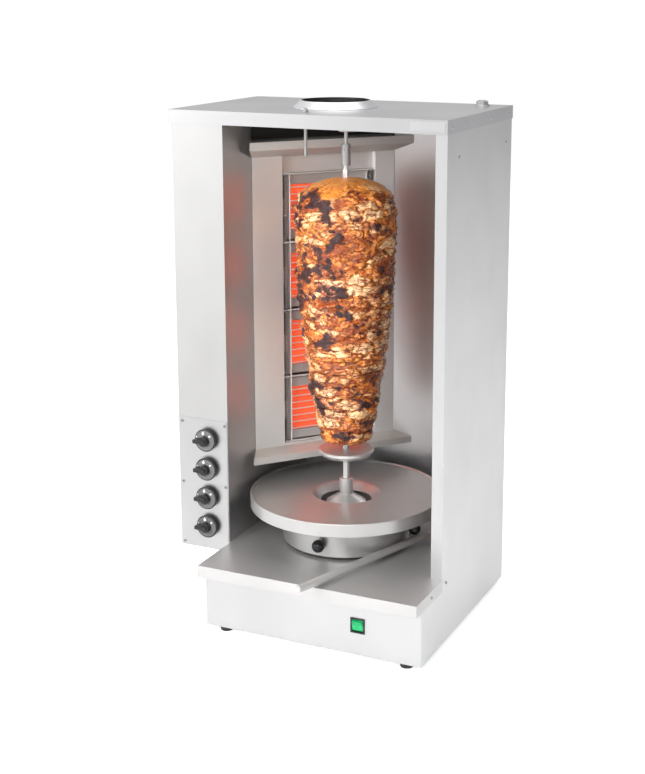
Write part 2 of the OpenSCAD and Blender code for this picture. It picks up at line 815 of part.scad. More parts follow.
module drum_shell() {
    color(steel) difference() {
        at_spit() {
            difference() {
                translate([0, 0, drum_z]) cylinder(r = drum_r, h = pan_under - drum_z, $fn = 96);
                translate([0, 0, drum_z - 1]) cylinder(r = drum_r - sheet, h = pan_under - drum_z + 2, $fn = 96);
            }
            difference() {
                translate([0, 0, lid_z - sheet]) cylinder(r = drum_r, h = sheet, $fn = 96);
                translate([0, 0, lid_z - 2 * sheet]) cylinder(r = cup_r + screw_gap, h = 3 * sheet);
            }
        }
        at_balls() translate([0, 0, drum_r - 10]) cylinder(r = ball_stem_r + screw_gap, h = 20, $fn = 32);
    }
}

// Floor of the drum with a ring inside the shell, which the ball knobs screw into
module drum_base() {
    ring_r = drum_r - sheet;
    boss = 12;
    color(steel_dark) difference() {
        union() {
            at_spit() difference() {
                translate([0, 0, drum_z]) cylinder(r = ring_r, h = drum_ring_h, $fn = 96);
                translate([0, 0, drum_z + drum_plate_t]) cylinder(r = ring_r - sheet, h = drum_ring_h, $fn = 96);
            }
            at_balls() translate([0, 0, ring_r - sheet - boss]) cylinder(r = 7, h = boss + sheet / 2, $fn = 32);
        }
        at_balls() translate([0, 0, ring_r - 2 * boss]) cylinder(r = ball_stem_r + run_gap, h = 4 * boss, $fn = 32);
    }
}

module ball_knob(i) {
    color(black) at_spit() rotate([0, 0, ball_angles[i - 1]]) translate([drum_r + ball_out, 0, ball_z]) {
        sphere(r = ball_r);
        rotate([0, -90, 0]) cylinder(r = ball_stem_r, h = ball_out + 2 * sheet + 10, $fn = 32);
    }
}

module glide_ring() {
    low = tray_z + free_gap;
    color(black) at_spit() translate([0, 0, low]) difference() {
        cylinder(r = drum_r - 4, h = drum_z - low, $fn = 96);
        translate([0, 0, -1]) cylinder(r = drum_r - 30, h = drum_z - low + 2, $fn = 96);
    }
}

module gearmotor() {
    low = drum_z + drum_plate_t;
    color([0.35, 0.36, 0.38]) at_spit() translate([0, 0, low]) difference() {
        union() {
            translate([-gear_w / 2, -gear_w / 2, 0]) cube([gear_l, gear_w, gear_h]);
            translate([gear_l - gear_w / 2, 0, gear_h / 2]) rotate([0, 90, 0]) cylinder(r = motor_r, h = motor_l);
        }
        translate([0, 0, 5]) cylinder(r = shaft_r + run_gap, h = gear_h);
    }
}

// Ring-shaped cup that hangs in the drum lid and catches the fat round the shaft
module grease_cup() {
    color(steel) at_spit() rotate_extrude($fn = 96) polygon([
        [cup_neck_r, cup_z], [cup_r, cup_z], [cup_r, lid_z], [cup_r + cup_lip, lid_z],
        [cup_r + cup_lip, lid_z + 1], [cup_r - 1, lid_z + 1], [cup_r - 1, cup_z + 1],
        [cup_neck_r + 1, cup_z + 1], [cup_neck_r + 1, lid_z - 2], [cup_neck_r, lid_z - 2]]);
}

// Round pan: a rim band, a shallow step, a flat floor and a funnel round the hub
module fat_pan() {
    rim = 2.5;
    step = 4;
    neck = pan_floor - funnel_drop;
    color(steel) at_spit() rotate_extrude($fn = 128) polygon([
        [pan_r, pan_z - pan_band], [pan_r, pan_z - 1], [pan_r - 1, pan_z], [pan_r - rim - 1, pan_z],
        [pan_r - rim - step, pan_floor], [funnel_r, pan_floor], [funnel_hole_r, neck],
        [funnel_hole_r, neck - sheet], [funnel_hole_r + sheet, neck - sheet], [funnel_r + sheet / 2, pan_under],
        [pan_r - rim - step, pan_under], [pan_r - rim, pan_z - rim], [pan_r - rim, pan_z - pan_band + sheet],
        [pan_r - 6, pan_z - pan_band + sheet], [pan_r - 6, pan_z - pan_band]]);
}

// Hub on the gearbox shaft, with a skirt over the grease cup and a square socket for the skewer
module drive_hub() {
    low = drum_z + drum_plate_t + 5 + free_gap;
    socket = skewer_a + 2 * screw_gap;
    color(steel) at_spit() difference() {
        union() {
            translate([0, 0, low]) cylinder(r = shaft_r, h = skirt_z + 8 - low);
            translate([0, 0, skirt_z]) rotate_extrude() polygon([
                [0, 6], [hub_r + 4, skirt_h - 4], [skirt_r - 2, 0], [skirt_r, 0], [skirt_r, 1.5],
                [hub_r + 2, skirt_h], [hub_r, skirt_h + 1], [hub_r, hub_top - skirt_z - 1],
                [hub_r - 1, hub_top - skirt_z], [0, hub_top - skirt_z]]);
        }
        translate([-socket / 2, -socket / 2, socket_z]) cube([socket, socket, hub_top]);
    }
}

module skewer() {
    color([0.75, 0.75, 0.76]) at_spit() {
        translate([-skewer_a / 2, -skewer_a / 2, socket_z]) cube([skewer_a, skewer_a, journal_z - socket_z]);
        translate([0, 0, journal_z]) cylinder(r = journal_r, h = journal_top - journal_z);
    }
}

module spit_disc() {
    color(steel) at_spit() translate([0, 0, disc_z - disc_t]) rotate_extrude($fn = 96) polygon([
        [skewer_hole, disc_t - 4], [disc_r - 14, disc_t - 4], [disc_r - 12, 0], [disc_r - 8, 0],
        [disc_r, disc_t - 6], [disc_r, disc_t - 2], [disc_r - 2, disc_t], [skewer_hole, disc_t]]);
}

// Outline of the stacked meat, as shares of its height and of its largest radius
meat_outline = [[0, 0.47], [0.02, 0.52], [0.07, 0.57], [0.14, 0.645], [0.26, 0.745], [0.39, 0.835],
    [0.51, 0.90], [0.66, 0.955], [0.82, 1], [0.90, 0.965], [0.945, 0.87], [0.975, 0.66], [0.992, 0.36]];

module meat_stack() {
    color([0.80, 0.42, 0.15]) at_spit() translate([0, 0, meat_z]) rotate_extrude($fn = 72) polygon(concat(
        [[skewer_hole, 0]], [for (p = meat_outline) [p[1] * meat_r, p[0] * meat_h]], [[skewer_hole, meat_h]]));
}

// Sleeve that slides up the hanging pin to free the top of the spit
module locking_sleeve() {
    shoulder = journal_top - sleeve_z + 2;
    color(steel) at_spit() translate([0, 0, sleeve_z]) {
        difference() {
            cylinder(r = sleeve_r, h = sleeve_h);
            translate([0, 0, -1]) cylinder(r = journal_r + run_gap, h = shoulder + 1);
            cylinder(r = pin_r + run_gap, h = sleeve_h + 1);
        }
        translate([0, -sleeve_r + 0.5, sleeve_h - 12]) rotate([90, 0, 0]) cylinder(r = 2.5, h = 3, $fn = 24);
    }
}

base_shell();
base_floor();
feet();
work_tray();
right_side_panel();
right_liner();
left_side_panel();
column_shell();
lower_liner();
rear_panel();
top_panel();
flue_collar();
badge_plate();
burner_wall();
upper_deflector();
lower_deflector();
burner_bodies();
ceramic_plates();
burner_guards();
knob_panel();
gas_valves();
gas_manifold();
gas_pipes();
gas_inlet();
valve_stem(1);  // valve_stem_1
valve_stem(2);  // valve_stem_2
valve_stem(3);  // valve_stem_3
valve_stem(4);  // valve_stem_4
knob(1);  // knob_1
knob(2);  // knob_2
knob(3);  // knob_3
knob(4);  // knob_4
cabinet_screws();
top_rivets();
hanger_bolts();
switch_housing();
switch_rocker();
terminal_block();
cable_gland();
pivot_post();
pivot_nut();
swing_tube();
upper_arm();
lever_rod();
drum_shell();
drum_base();
glide_ring();
gearmotor();
grease_cup();
fat_pan();
ball_knob(1);  // ball_knob_1
ball_knob(2);  // ball_knob_2
ball_knob(3);  // ball_knob_3
ball_knob(4);  // ball_knob_4
drive_hub();
skewer();
spit_disc();
meat_stack();
locking_sleeve();
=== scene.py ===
import json
import math
from functools import partial

import bmesh
import bpy
import numpy as np
from mathutils import Matrix, Vector


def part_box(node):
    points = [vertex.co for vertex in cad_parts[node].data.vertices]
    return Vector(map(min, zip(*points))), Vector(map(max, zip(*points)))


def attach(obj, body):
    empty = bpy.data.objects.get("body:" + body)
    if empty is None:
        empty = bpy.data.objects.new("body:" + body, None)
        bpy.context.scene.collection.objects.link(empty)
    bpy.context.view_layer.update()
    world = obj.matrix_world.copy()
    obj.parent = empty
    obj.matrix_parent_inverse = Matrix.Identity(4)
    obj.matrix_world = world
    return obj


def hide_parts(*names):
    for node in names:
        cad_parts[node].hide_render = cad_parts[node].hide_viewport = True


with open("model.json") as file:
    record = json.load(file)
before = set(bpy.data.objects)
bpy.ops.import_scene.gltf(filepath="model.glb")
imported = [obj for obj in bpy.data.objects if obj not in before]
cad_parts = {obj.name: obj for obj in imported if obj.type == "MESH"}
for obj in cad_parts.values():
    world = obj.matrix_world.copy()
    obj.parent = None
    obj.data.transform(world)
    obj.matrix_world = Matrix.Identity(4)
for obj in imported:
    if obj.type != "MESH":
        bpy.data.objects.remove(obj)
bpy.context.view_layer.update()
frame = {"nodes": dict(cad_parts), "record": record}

# Studio. The oven stands on a pale floor in a light tent: soft boxes on the left, in front and
# above, a narrow one that lights only matt surfaces, and a sky that turns grey towards the rear
# right, which the top and the right wall mirror.
scene = bpy.context.scene
scene.view_settings.view_transform = "Standard"
LOOK_DOWN, LOOK_ROUND = 11.679, 24.465


def linked(name, data):
    """A new object in the scene."""
    made = bpy.data.objects.new(name, data)
    scene.collection.objects.link(made)
    return made


camera = linked("camera", bpy.data.cameras.new("camera"))
camera.location = (1.2650, -2.6528, 1.3287)
camera.rotation_euler = (math.radians(90 - LOOK_DOWN), 0, math.radians(LOOK_ROUND))
camera.data.sensor_width = 36
camera.data.lens = 66.77
camera.data.shift_x = -0.0375
camera.data.shift_y = -0.135
scene.camera = camera


def soft_box(name, place, aim, size, power):
    """A rectangular studio lamp that faces a point."""
    lamp = bpy.data.lights.new(name, "AREA")
    lamp.shape = "RECTANGLE"
    lamp.size, lamp.size_y = size
    lamp.energy = power
    box = linked(name, lamp)
    box.location = place
    box.rotation_euler = (Vector(aim) - Vector(place)).to_track_quat("-Z", "Y").to_euler()
    return box


soft_box("left_soft_box", place=(-2.4, -2.6, 1.5), aim=(0, 0, 0.6), size=(2.2, 2.6), power=17)
soft_box("front_soft_box", place=(0.7, -3.2, 2.4), aim=(0.05, 0, 0.6), size=(1.4, 1.2), power=30)
soft_box("top_soft_box", place=(0.1, 0.2, 3.0), aim=(0, 0, 0), size=(2.4, 2.4), power=30)
matt_box = soft_box("matt_soft_box", place=(-0.75, -2.3, 1.3), aim=(0.03, 0, 0.62), size=(0.8, 0.8), power=7.5)
matt_box.visible_glossy = False
matt_box.data.spread = math.radians(46)


def fill(tree, node, inputs):
    """Sets or links the inputs of a node, each given by its name or number."""
    for socket, value in inputs.items():
        if isinstance(value, bpy.types.NodeSocket):
            tree.links.new(value, node.inputs[socket])
        else:
            node.inputs[socket].default_value = value


def wired(tree, kind, inputs={}, output=0, **settings):
    """Adds a node to a tree, fills its inputs, and gives one of its outputs."""
    node = tree.nodes.new(kind)
    for label, value in settings.items():
        setattr(node, label, value)
    fill(tree, node, inputs)
    return node.outputs[output]


WHITE, SHADED = (1, 1, 1, 1), (0.50, 0.50, 0.51, 1)
LIT_SIDE, SKY_POWER = (-0.62, -0.78, 0.0), 0.85
tent = bpy.data.worlds.new("light_tent")
tent.use_nodes = True
scene.world = tent
add = partial(wired, tent.node_tree)
sky = add("ShaderNodeTexCoord", output="Generated")
facing = add("ShaderNodeVectorMath", {0: sky, 1: LIT_SIDE}, "Value", operation="DOT_PRODUCT")
shade = add("ShaderNodeValToRGB", {"Fac": add("ShaderNodeMapRange", {"Value": facing, "From Min": -1.0})})
for stop, colour in zip(shade.node.color_ramp.elements, (SHADED, WHITE)):
    stop.color = colour
lit_sky = tent.node_tree.nodes["Background"]
fill(tent.node_tree, lit_sky, {"Color": shade, "Strength": SKY_POWER})
plain_sky = add("ShaderNodeBackground", {"Color": WHITE})
seen = add("ShaderNodeLightPath", output="Is Camera Ray")
either = add("ShaderNodeMixShader", {"Fac": seen, 1: lit_sky.outputs[0], 2: plain_sky})
fill(tent.node_tree, tent.node_tree.nodes["World Output"], {"Surface": either})

CORNERS = [(-1, -1), (1, -1), (1, 1), (-1, 1)]
FLOOR_HALF, FLOOR_GLOW, FLOOR_GLOW_SEEN = 7, 0.25, 0.60
floor_mesh = bpy.data.meshes.new("studio_floor")
floor_mesh.from_pydata([(x * FLOOR_HALF, y * FLOOR_HALF, 0) for x, y in CORNERS], [], [(0, 1, 2, 3)])
studio_floor = linked("studio_floor", floor_mesh)
floor_paint = bpy.data.materials.new("studio_floor")
floor_paint.use_nodes = True
add = partial(wired, floor_paint.node_tree)
seen = add("ShaderNodeLightPath", output="Is Camera Ray")
glow = add("ShaderNodeMapRange", {"Value": seen, "To Min": FLOOR_GLOW, "To Max": FLOOR_GLOW_SEEN})
fill(floor_paint.node_tree, floor_paint.node_tree.nodes["Principled BSDF"], {
    "Base Color": (0.80, 0.80, 0.80, 1), "Roughness": 0.9, "Emission Color": WHITE, "Emission Strength": glow})
floor_mesh.materials.append(floor_paint)


# Base box. A folded stainless shell on a flat floor plate, carried by four rubber feet.
# The sheet is ground in one direction, so it has fine lines and mirrors only in a blur.
class Finish:
    """The nodes of a material: place on the piece, and steps that add a node and give its output."""

    def __init__(self, material):
        material.use_nodes = True
        self.tree = material.node_tree
        self.shader = self.tree.nodes["Principled BSDF"]
        self.add = partial(wired, self.tree)
        self.place = self.add("ShaderNodeTexCoord", output="Object")

    def give(self, values):
        """Sets or links sockets of the shader."""
        fill(self.tree, self.shader, values)

    def noise(self, place, size, detail=3.0, output="Fac"):
        """Noise whose coordinates are stretched by size, one number per metre for each axis."""
        mapped = self.add("ShaderNodeMapping", {"Scale": size, "Vector": place})
        return self.add("ShaderNodeTexNoise", {"Scale": 1.0, "Detail": detail, "Vector": mapped}, output)

    def spread(self, value, low, high, start=0.3, end=0.7):
        """A number that goes from low to high while a value goes from start to end."""
        return self.add("ShaderNodeMapRange", {"Value": value, "From Min": start, "From Max": end,
                                               "To Min": low, "To Max": high})

    def mixed(self, share, first, second):
        """A colour between two colours or sockets."""
        ends = {n: (*end, 1) if isinstance(end, tuple) else end for n, end in ((6, first), (7, second))}
        return self.add("ShaderNodeMix", {"Factor": share, **ends}, 2, data_type="RGBA")

    def over(self, share, colour):
        """Lays a colour over the one that the piece has."""
        clean = self.shader.inputs["Base Color"].links[0].from_socket
        self.give({"Base Color": self.mixed(share, clean, colour)})

    def bump(self, height, strength, depth):
        """Relief with a depth in metres."""
        self.give({"Normal": self.add("ShaderNodeBump", {"Strength": strength, "Distance": depth, "Height": height})})

    def vary(self, colour, tone, cloud, roughness, wander, sheen):
        """Colour and roughness that wander round their middle values with a noise each."""
        dark, light = (tuple(min(1.0, c * share) for c in colour) for share in (1 - tone, 1 + tone))
        self.give({"Base Color": self.mixed(self.spread(cloud, 0, 1), dark, light),
                   "Roughness": self.spread(sheen, roughness - wander, roughness + wander)})


def metal(name, colour, roughness, grain, wander=0.03, depth=0.00002, tone=0.05, axis=None, bright=1.0):
    """Ground or turned metal. grain is how fine its lines are along each axis, per metre.
    With an axis, the lines run round that point instead. bright is how much of it mirrors."""
    material = bpy.data.materials.new(name)
    finish = Finish(material)
    lines = finish.place
    if axis:
        offset = finish.add("ShaderNodeVectorMath", {0: finish.place, 1: (*axis, 0)}, operation="SUBTRACT")
        part = finish.add("ShaderNodeSeparateXYZ", {"Vector": offset}).node.outputs
        flat = finish.add("ShaderNodeCombineXYZ", {"X": part["X"], "Y": part["Y"]})
        reach = finish.add("ShaderNodeVectorMath", {0: flat}, "Value", operation="LENGTH")
        lines = finish.add("ShaderNodeCombineXYZ", {"X": reach, "Z": part["Z"]})
    brush = finish.noise(lines, grain, 4.0)
    cloud = finish.noise(finish.place, (5, 5, 4), 2.0)
    finish.vary(colour, tone, cloud, roughness, wander, brush)
    finish.bump(brush, 0.35, depth)
    finish.give({"Metallic": bright})
    return material


def moulded(name, colour, roughness, grain=700, depth=0.00005, wander=0.06, tone=0.12):
    """Plastic, rubber, paint or ceramic: a fine even grain over slow changes of tone."""
    material = bpy.data.materials.new(name)
    finish = Finish(material)
    slow = finish.noise(finish.place, (40,) * 3)
    finish.vary(colour, tone, slow, roughness, wander, slow)
    finish.bump(finish.noise(finish.place, (grain,) * 3), 0.5, depth)
    return material


def painted(node, material):
    """Gives a carried-over piece of the frame its finish."""
    for slot in frame["nodes"][node].material_slots:
        slot.material = material


def placed(name, mesh, material, smooth=35):
    """An object at the origin with a smooth surface that stays sharp at its folds."""
    for m in material if isinstance(material, list) else [material]:
        mesh.materials.append(m)
    mesh.shade_smooth()
    mesh.set_sharp_from_angle(angle=math.radians(smooth))
    return linked(name, mesh)


def baked(piece):
    """Turns a piece's modifiers into plain mesh."""
    graph = bpy.context.evaluated_depsgraph_get()
    mesh = bpy.data.meshes.new_from_object(piece.evaluated_get(graph))
    piece.modifiers.clear()
    old, piece.data = piece.data, mesh
    mesh.name = piece.name
    bpy.data.meshes.remove(old)
    return piece


def mesh_of(form, name):
    """Turns a form into a mesh and lets the form go."""
    mesh = bpy.data.meshes.new(name)
    form.to_mesh(mesh)
    form.free()
    return mesh


def folded(node, name, material, edge, steps=2):
    """A sheet or solid of the frame with its triangles joined and its folds and cut edges rounded."""
    form = bmesh.new()
    form.from_mesh(frame["nodes"][node].data)
    bmesh.ops.remove_doubles(form, verts=form.verts, dist=3e-6)
    bmesh.ops.dissolve_limit(form, angle_limit=math.radians(0.4), verts=form.verts, edges=form.edges)
    piece = placed(name, mesh_of(form, name), material)
    bevel = piece.modifiers.new("edge", "BEVEL")
    bevel.width, bevel.segments = edge, steps
    bevel.limit_method, bevel.angle_limit = "ANGLE", math.radians(38)
    flat = piece.modifiers.new("flat", "WEIGHTED_NORMAL")
    flat.keep_sharp = True
    baked(piece)
    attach(piece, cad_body[node])
    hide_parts(node)
    return piece


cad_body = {node: body for body, names in frame["record"]["behaviour"]["bodies"].items() for node in names}
UPRIGHT_LINES, LEVEL_LINES = (420, 420, 5), (5, 5, 420)
base_steel = metal("base_steel", (0.71, 0.71, 0.715), 0.36, LEVEL_LINES)
folded("base_shell", "base_box", base_steel, edge=0.0008)
painted("base_floor", metal("floor_plate_steel", (0.45, 0.45, 0.46), 0.42, LEVEL_LINES, wander=0.05))
foot_rubber = moulded("foot_rubber", (0.02, 0.02, 0.022), 0.6)
folded("feet", "rubber_feet", foot_rubber, edge=0.001)

# Work tray. One sheet that floors the oven and stands out over the base, with its front and ends
# folded down and the front hemmed.
tray_steel = metal("tray_steel", (0.66, 0.65, 0.645), 0.46, LEVEL_LINES, bright=0.8)
folded("work_tray", "work_tray_sheet", tray_steel, edge=0.0009)

# Cabinet walls. Folded stainless panels: the right wall turns in as a narrow front post, the column
# turns back as the inner wall, and the rear panel closes both.
wall_steel = metal("wall_steel", (0.725, 0.725, 0.73), 0.35, UPRIGHT_LINES)
column_steel = metal("column_steel", (0.66, 0.655, 0.65), 0.35, UPRIGHT_LINES)
inner_steel = metal("inner_steel", (0.60, 0.585, 0.575), 0.40, UPRIGHT_LINES, bright=0.85)
folded("right_side_panel", "right_wall", wall_steel, edge=0.0008)
folded("right_liner", "right_liner_sheet", inner_steel, edge=0.0004)
folded("left_side_panel", "left_wall", column_steel, edge=0.0005)
folded("column_shell", "column_wall", column_steel, edge=0.0008)
folded("lower_liner", "lower_liner_sheet", inner_steel, edge=0.0004)
folded("rear_panel", "rear_wall", wall_steel, edge=0.0004)

# Top panel. A shallow lid folded down on all four sides, with a spun ring round the flue opening,
# a blank name plate at its front right corner, and the nuts of the hanging bolts and the swing post.
top_steel = metal("top_steel", (0.655, 0.655, 0.66), 0.34, LEVEL_LINES)
turned_steel = metal("turned_steel", (0.50, 0.495, 0.49), 0.38, (700, 700, 700),
                     depth=0.000004, tone=0.03, bright=0.95)
folded("top_panel", "top_lid", top_steel, edge=0.0012, steps=3)
ring_low, ring_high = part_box("flue_collar")
RING = ((ring_low.x + ring_high.x) / 2, (ring_low.y + ring_high.y) / 2)
FLUE_R, FLUE_DARK = 0.071, (0.045, 0.045, 0.045)
flue_steel = metal("flue_steel", (0.72, 0.72, 0.73), 0.36, (500, 5, 500), wander=0.02,
                   depth=0.000005, axis=RING, bright=0.8)
finish = Finish(flue_steel)
flat = finish.add("ShaderNodeVectorMath", {0: finish.place, 1: (1, 1, 0)}, operation="MULTIPLY")
reach = finish.add("ShaderNodeVectorMath", {0: flat, 1: (*RING, 0)}, "Value", operation="DISTANCE")
# Painted shade: the bore of the flue ring is coloured near black, standing in for the shadow inside the flue.
finish.over(finish.spread(reach, 1, 0, FLUE_R + 0.0003, FLUE_R + 0.002), FLUE_DARK)
folded("flue_collar", "flue_ring", flue_steel, edge=0.0004)
badge_metal = metal("badge_metal", (0.72, 0.72, 0.73), 0.34, LEVEL_LINES, wander=0.05)
folded("badge_plate", "blank_badge", badge_metal, edge=0.0003)
for node, name, edge in (("hanger_bolts", "hanger_bolt_pair", 0.0004), ("pivot_post", "swing_post", 0.0005),
                         ("pivot_nut", "swing_post_nut", 0.0006)):
    folded(node, name, turned_steel, edge)

# Burner wall. A slanting stainless sheet with a framed opening for the four burners, painted near black
# at its top as the shade above the upper strip, and two folded strips above and below it that throw the
# heat at the meat and the fat into the pan.
burner_steel = metal("burner_steel", (0.80, 0.785, 0.765), 0.42, UPRIGHT_LINES, bright=0.55)
deflector_steel = metal("deflector_steel", (0.66, 0.64, 0.61), 0.42, LEVEL_LINES, bright=0.6)
finish = Finish(burner_steel)
up = finish.add("ShaderNodeSeparateXYZ", {"Vector": finish.place}, "Z")
sooty_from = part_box("upper_deflector")[1].z
# Painted shade: above the upper deflector the sheet fades to near black, standing in for the shadow there.
finish.over(finish.spread(up, 0, 1, sooty_from - 0.022, sooty_from + 0.004), (0.012, 0.011, 0.010))
folded("burner_wall", "burner_wall_sheet", burner_steel, edge=0.0005)
for side in ("upper", "lower"):
    folded(f"{side}_deflector", f"{side}_deflector_strip", deflector_steel, edge=0.0004)

# Burners. Four pressed steel boxes, each closed by a perforated ceramic plate that glows orange red.
# Every plate has rows of small square gas ports, moulded through it.
WALL_TURN, SHEET = math.radians(50), 0.0015
wall_corner = Vector(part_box("burner_wall")[0])
wall_place = Matrix.Translation((wall_corner.x + SHEET * math.sin(WALL_TURN), wall_corner.y, 0))
wall_place = wall_place @ Matrix.Rotation(WALL_TURN, 4, "Z")
BURNERS, BURNER_PITCH = 4, 0.151
WINDOW_LEFT, WINDOW_RIGHT, WINDOW_LOW = 0.070, 0.292, 0.330
window_mid = (WINDOW_LEFT + WINDOW_RIGHT) / 2
window_top = WINDOW_LOW + BURNERS * BURNER_PITCH
PLATE_W, PLATE_H, PLATE_FRONT, PLATE_DEPTH = 0.178, 0.100, 0.0132, 0.0112
burner_mids = [WINDOW_LOW + (i + 0.5) * BURNER_PITCH for i in range(BURNERS)]
box_steel = metal("burner_box_steel", (0.62, 0.60, 0.58), 0.42, LEVEL_LINES, bright=0.6)
folded("burner_bodies", "burner_boxes", box_steel, edge=0.0008)


def tree_with(name, **inputs):
    """A geometry tree with these named inputs: the tree, its step maker, its inputs and their keys."""
    tree = bpy.data.node_groups.new(name, "GeometryNodeTree")
    tree.interface.new_socket("Geometry", in_out="INPUT", socket_type="NodeSocketGeometry")
    keys = {label: tree.interface.new_socket(label, in_out="INPUT", socket_type="NodeSocket" + kind).identifier
            for label, kind in inputs.items()}
    tree.interface.new_socket("Geometry", in_out="OUTPUT", socket_type="NodeSocketGeometry")
    return tree, partial(wired, tree), tree.nodes.new("NodeGroupInput").outputs, keys


def ended(tree, geometry, **settings):
    """Closes a tree with its material, on the whole geometry or on a selection of it."""
    finish = wired(tree, "GeometryNodeSetMaterial", {"Geometry": geometry, **settings})
    fill(tree, tree.nodes.new("NodeGroupOutput"), {"Geometry": finish})


def grown(name, tree, keys, values, points=((0, 0, 0),), aims=None, place=None, smooth=35):
    """Runs a tree on a set of points and returns the plain mesh object, moved to its place."""
    seed = bpy.data.meshes.new(name)
    seed.from_pydata(points, [], [])
    if aims:
        aim = seed.attributes.new("aim", "FLOAT_VECTOR", "POINT")
        aim.data.foreach_set("vector", [n for a in aims for n in a])
    piece = linked(name, seed)
    step = piece.modifiers.new("tree", "NODES")
    step.node_group = tree
    for label, value in values.items():
        step[keys[label]] = value
    baked(piece)
    if place:
        piece.data.transform(place)
    piece.data.shade_smooth()
    piece.data.set_sharp_from_angle(angle=math.radians(smooth))
    return piece


def port_cell(pitch, port, depth):
    """One square of the ceramic plate's face with a sunk port, facing -Y."""
    a, b = pitch / 2, port / 2
    verts = [(x * a, 0, z * a) for x, z in CORNERS] + [(x * b, 0, z * b) for x, z in CORNERS]
    verts += [(x * b * 0.8, depth, z * b * 0.8) for x, z in CORNERS]
    faces = [(i, (i + 1) % 4, 4 + (i + 1) % 4, 4 + i) for i in range(4)]
    faces += [(4 + i, 4 + (i + 1) % 4, 8 + (i + 1) % 4, 8 + i) for i in range(4)] + [(8, 9, 10, 11)]
    mesh = bpy.data.meshes.new("port_cell")
    mesh.from_pydata(verts, [], faces)
    sunk = mesh.attributes.new("port", "FLOAT", "FACE")
    sunk.data.foreach_set("value", [0.0] * 4 + [0.6] * 4 + [1.0])
    return linked("port_cell", mesh)


glowing = bpy.data.materials.new("glowing_ceramic")
finish = Finish(glowing)
heat = finish.noise(finish.place, (30, 30, 24), 2.0)
speck = finish.noise(finish.place, (420, 420, 420), 2.0)
port = finish.add("ShaderNodeAttribute", {}, "Fac", attribute_name="port")
hot = finish.mixed(finish.spread(heat, 0, 1), (0.62, 0.035, 0.006), (0.88, 0.075, 0.010))
finish.give({
    "Emission Color": finish.mixed(finish.spread(port, 0, 1, 0, 1), hot, (0.30, 0.012, 0.004)),
    "Emission Strength": 1.0,
    "Base Color": finish.mixed(finish.spread(speck, 0, 1), (0.35, 0.10, 0.05), (0.50, 0.16, 0.08)),
    "Roughness": finish.spread(speck, 0.75, 0.95)})
finish.bump(speck, 0.4, 0.0002)

tree, add, given, keys = tree_with(
    "ceramic_ports", Cell="Object", Width="Float", Height="Float", Columns="Int", Rows="Int", Finish="Material")
grid = add("GeometryNodeMeshGrid", {"Size X": given["Width"], "Size Y": given["Height"],
                                    "Vertices X": given["Columns"], "Vertices Y": given["Rows"]}, "Mesh")
stand = add("GeometryNodeTransform", {"Geometry": grid, "Rotation": (math.radians(90), 0, 0)})
cell_form = add("GeometryNodeObjectInfo", {"Object": given["Cell"]}, "Geometry")
copies = add("GeometryNodeInstanceOnPoints", {"Points": stand, "Instance": cell_form})
real = add("GeometryNodeRealizeInstances", {"Geometry": copies})
weld = add("GeometryNodeMergeByDistance", {"Geometry": real, "Distance": 0.00002})
ended(tree, weld, Material=given["Finish"])

PORT_PITCH, PORT_SHARE, PORT_DEPTH = 0.0033, 0.5, 0.0014
columns, rows = int(PLATE_W / PORT_PITCH), int(PLATE_H / PORT_PITCH)
half_w, half_h = columns * PORT_PITCH / 2, rows * PORT_PITCH / 2
cell = port_cell(PORT_PITCH, PORT_PITCH * PORT_SHARE, PORT_DEPTH)
plates = []
for i, mid in enumerate(burner_mids):
    plates.append(grown(f"ceramic_{i + 1}", tree, keys, {
        "Cell": cell, "Width": (columns - 1) * PORT_PITCH, "Height": (rows - 1) * PORT_PITCH,
        "Columns": columns, "Rows": rows, "Finish": glowing},
        place=wall_place @ Matrix.Translation((window_mid, PLATE_FRONT, mid)), smooth=20))
bpy.data.objects.remove(cell)
for mid, face in zip(burner_mids, plates):
    shell = bmesh.new()
    shell.from_mesh(face.data)
    ring = [shell.verts.new(wall_place @ Vector((window_mid + x * half_w, y, mid + z * half_h)))
            for y in (PLATE_FRONT, PLATE_FRONT + PLATE_DEPTH) for x, z in CORNERS]
    for a in range(4):
        shell.faces.new([ring[(a + 1) % 4], ring[a], ring[4 + a], ring[4 + (a + 1) % 4]])
    shell.faces.new(ring[4:])
    shell.to_mesh(face.data)
    shell.free()
    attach(face, "cabinet")
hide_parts("ceramic_plates")

# Burner guard. Stainless wires welded across two bright uprights in front of each ceramic plate,
# held by rods from side to side, with a close wire coil that shields each end of the plates.
guard_wire = metal("guard_wire", (0.72, 0.70, 0.68), 0.42, (500, 500, 500), wander=0.05, depth=0.000005, bright=0.35)
coil_wire = metal("coil_wire", (0.42, 0.40, 0.38), 0.38, (500, 500, 500), wander=0.05,
                  depth=0.000005, tone=0.10, bright=0.7)


def wire_swept(add, path, radius, sides):
    """A round wire along a path, closed at its ends."""
    section = add("GeometryNodeCurvePrimitiveCircle", {"Resolution": sides, "Radius": radius})
    return add("GeometryNodeCurveToMesh", {"Curve": path, "Profile Curve": section, "Fill Caps": True})


tree, add, given, keys = tree_with(
    "guard_bars", Length="Float", Pitch="Float", Count="Int", Radius="Float", Finish="Material")
rise = add("ShaderNodeCombineXYZ", {"Z": given["Pitch"]})
row = add("GeometryNodeMeshLine", {"Count": given["Count"], "Offset": rise})
reach = add("ShaderNodeCombineXYZ", {"X": given["Length"]})
bar = wire_swept(add, add("GeometryNodeCurvePrimitiveLine", {"End": reach}), given["Radius"], 10)
copies = add("GeometryNodeInstanceOnPoints", {"Points": row, "Instance": bar})
ended(tree, add("GeometryNodeRealizeInstances", {"Geometry": copies}), Material=given["Finish"])

GUARD_Y, WIRE_R, ROD_R, WIRES, WIRE_PITCH = 0.006, 0.0011, 0.002, 7, 0.0148
guard_half = PLATE_W / 2 + 0.003


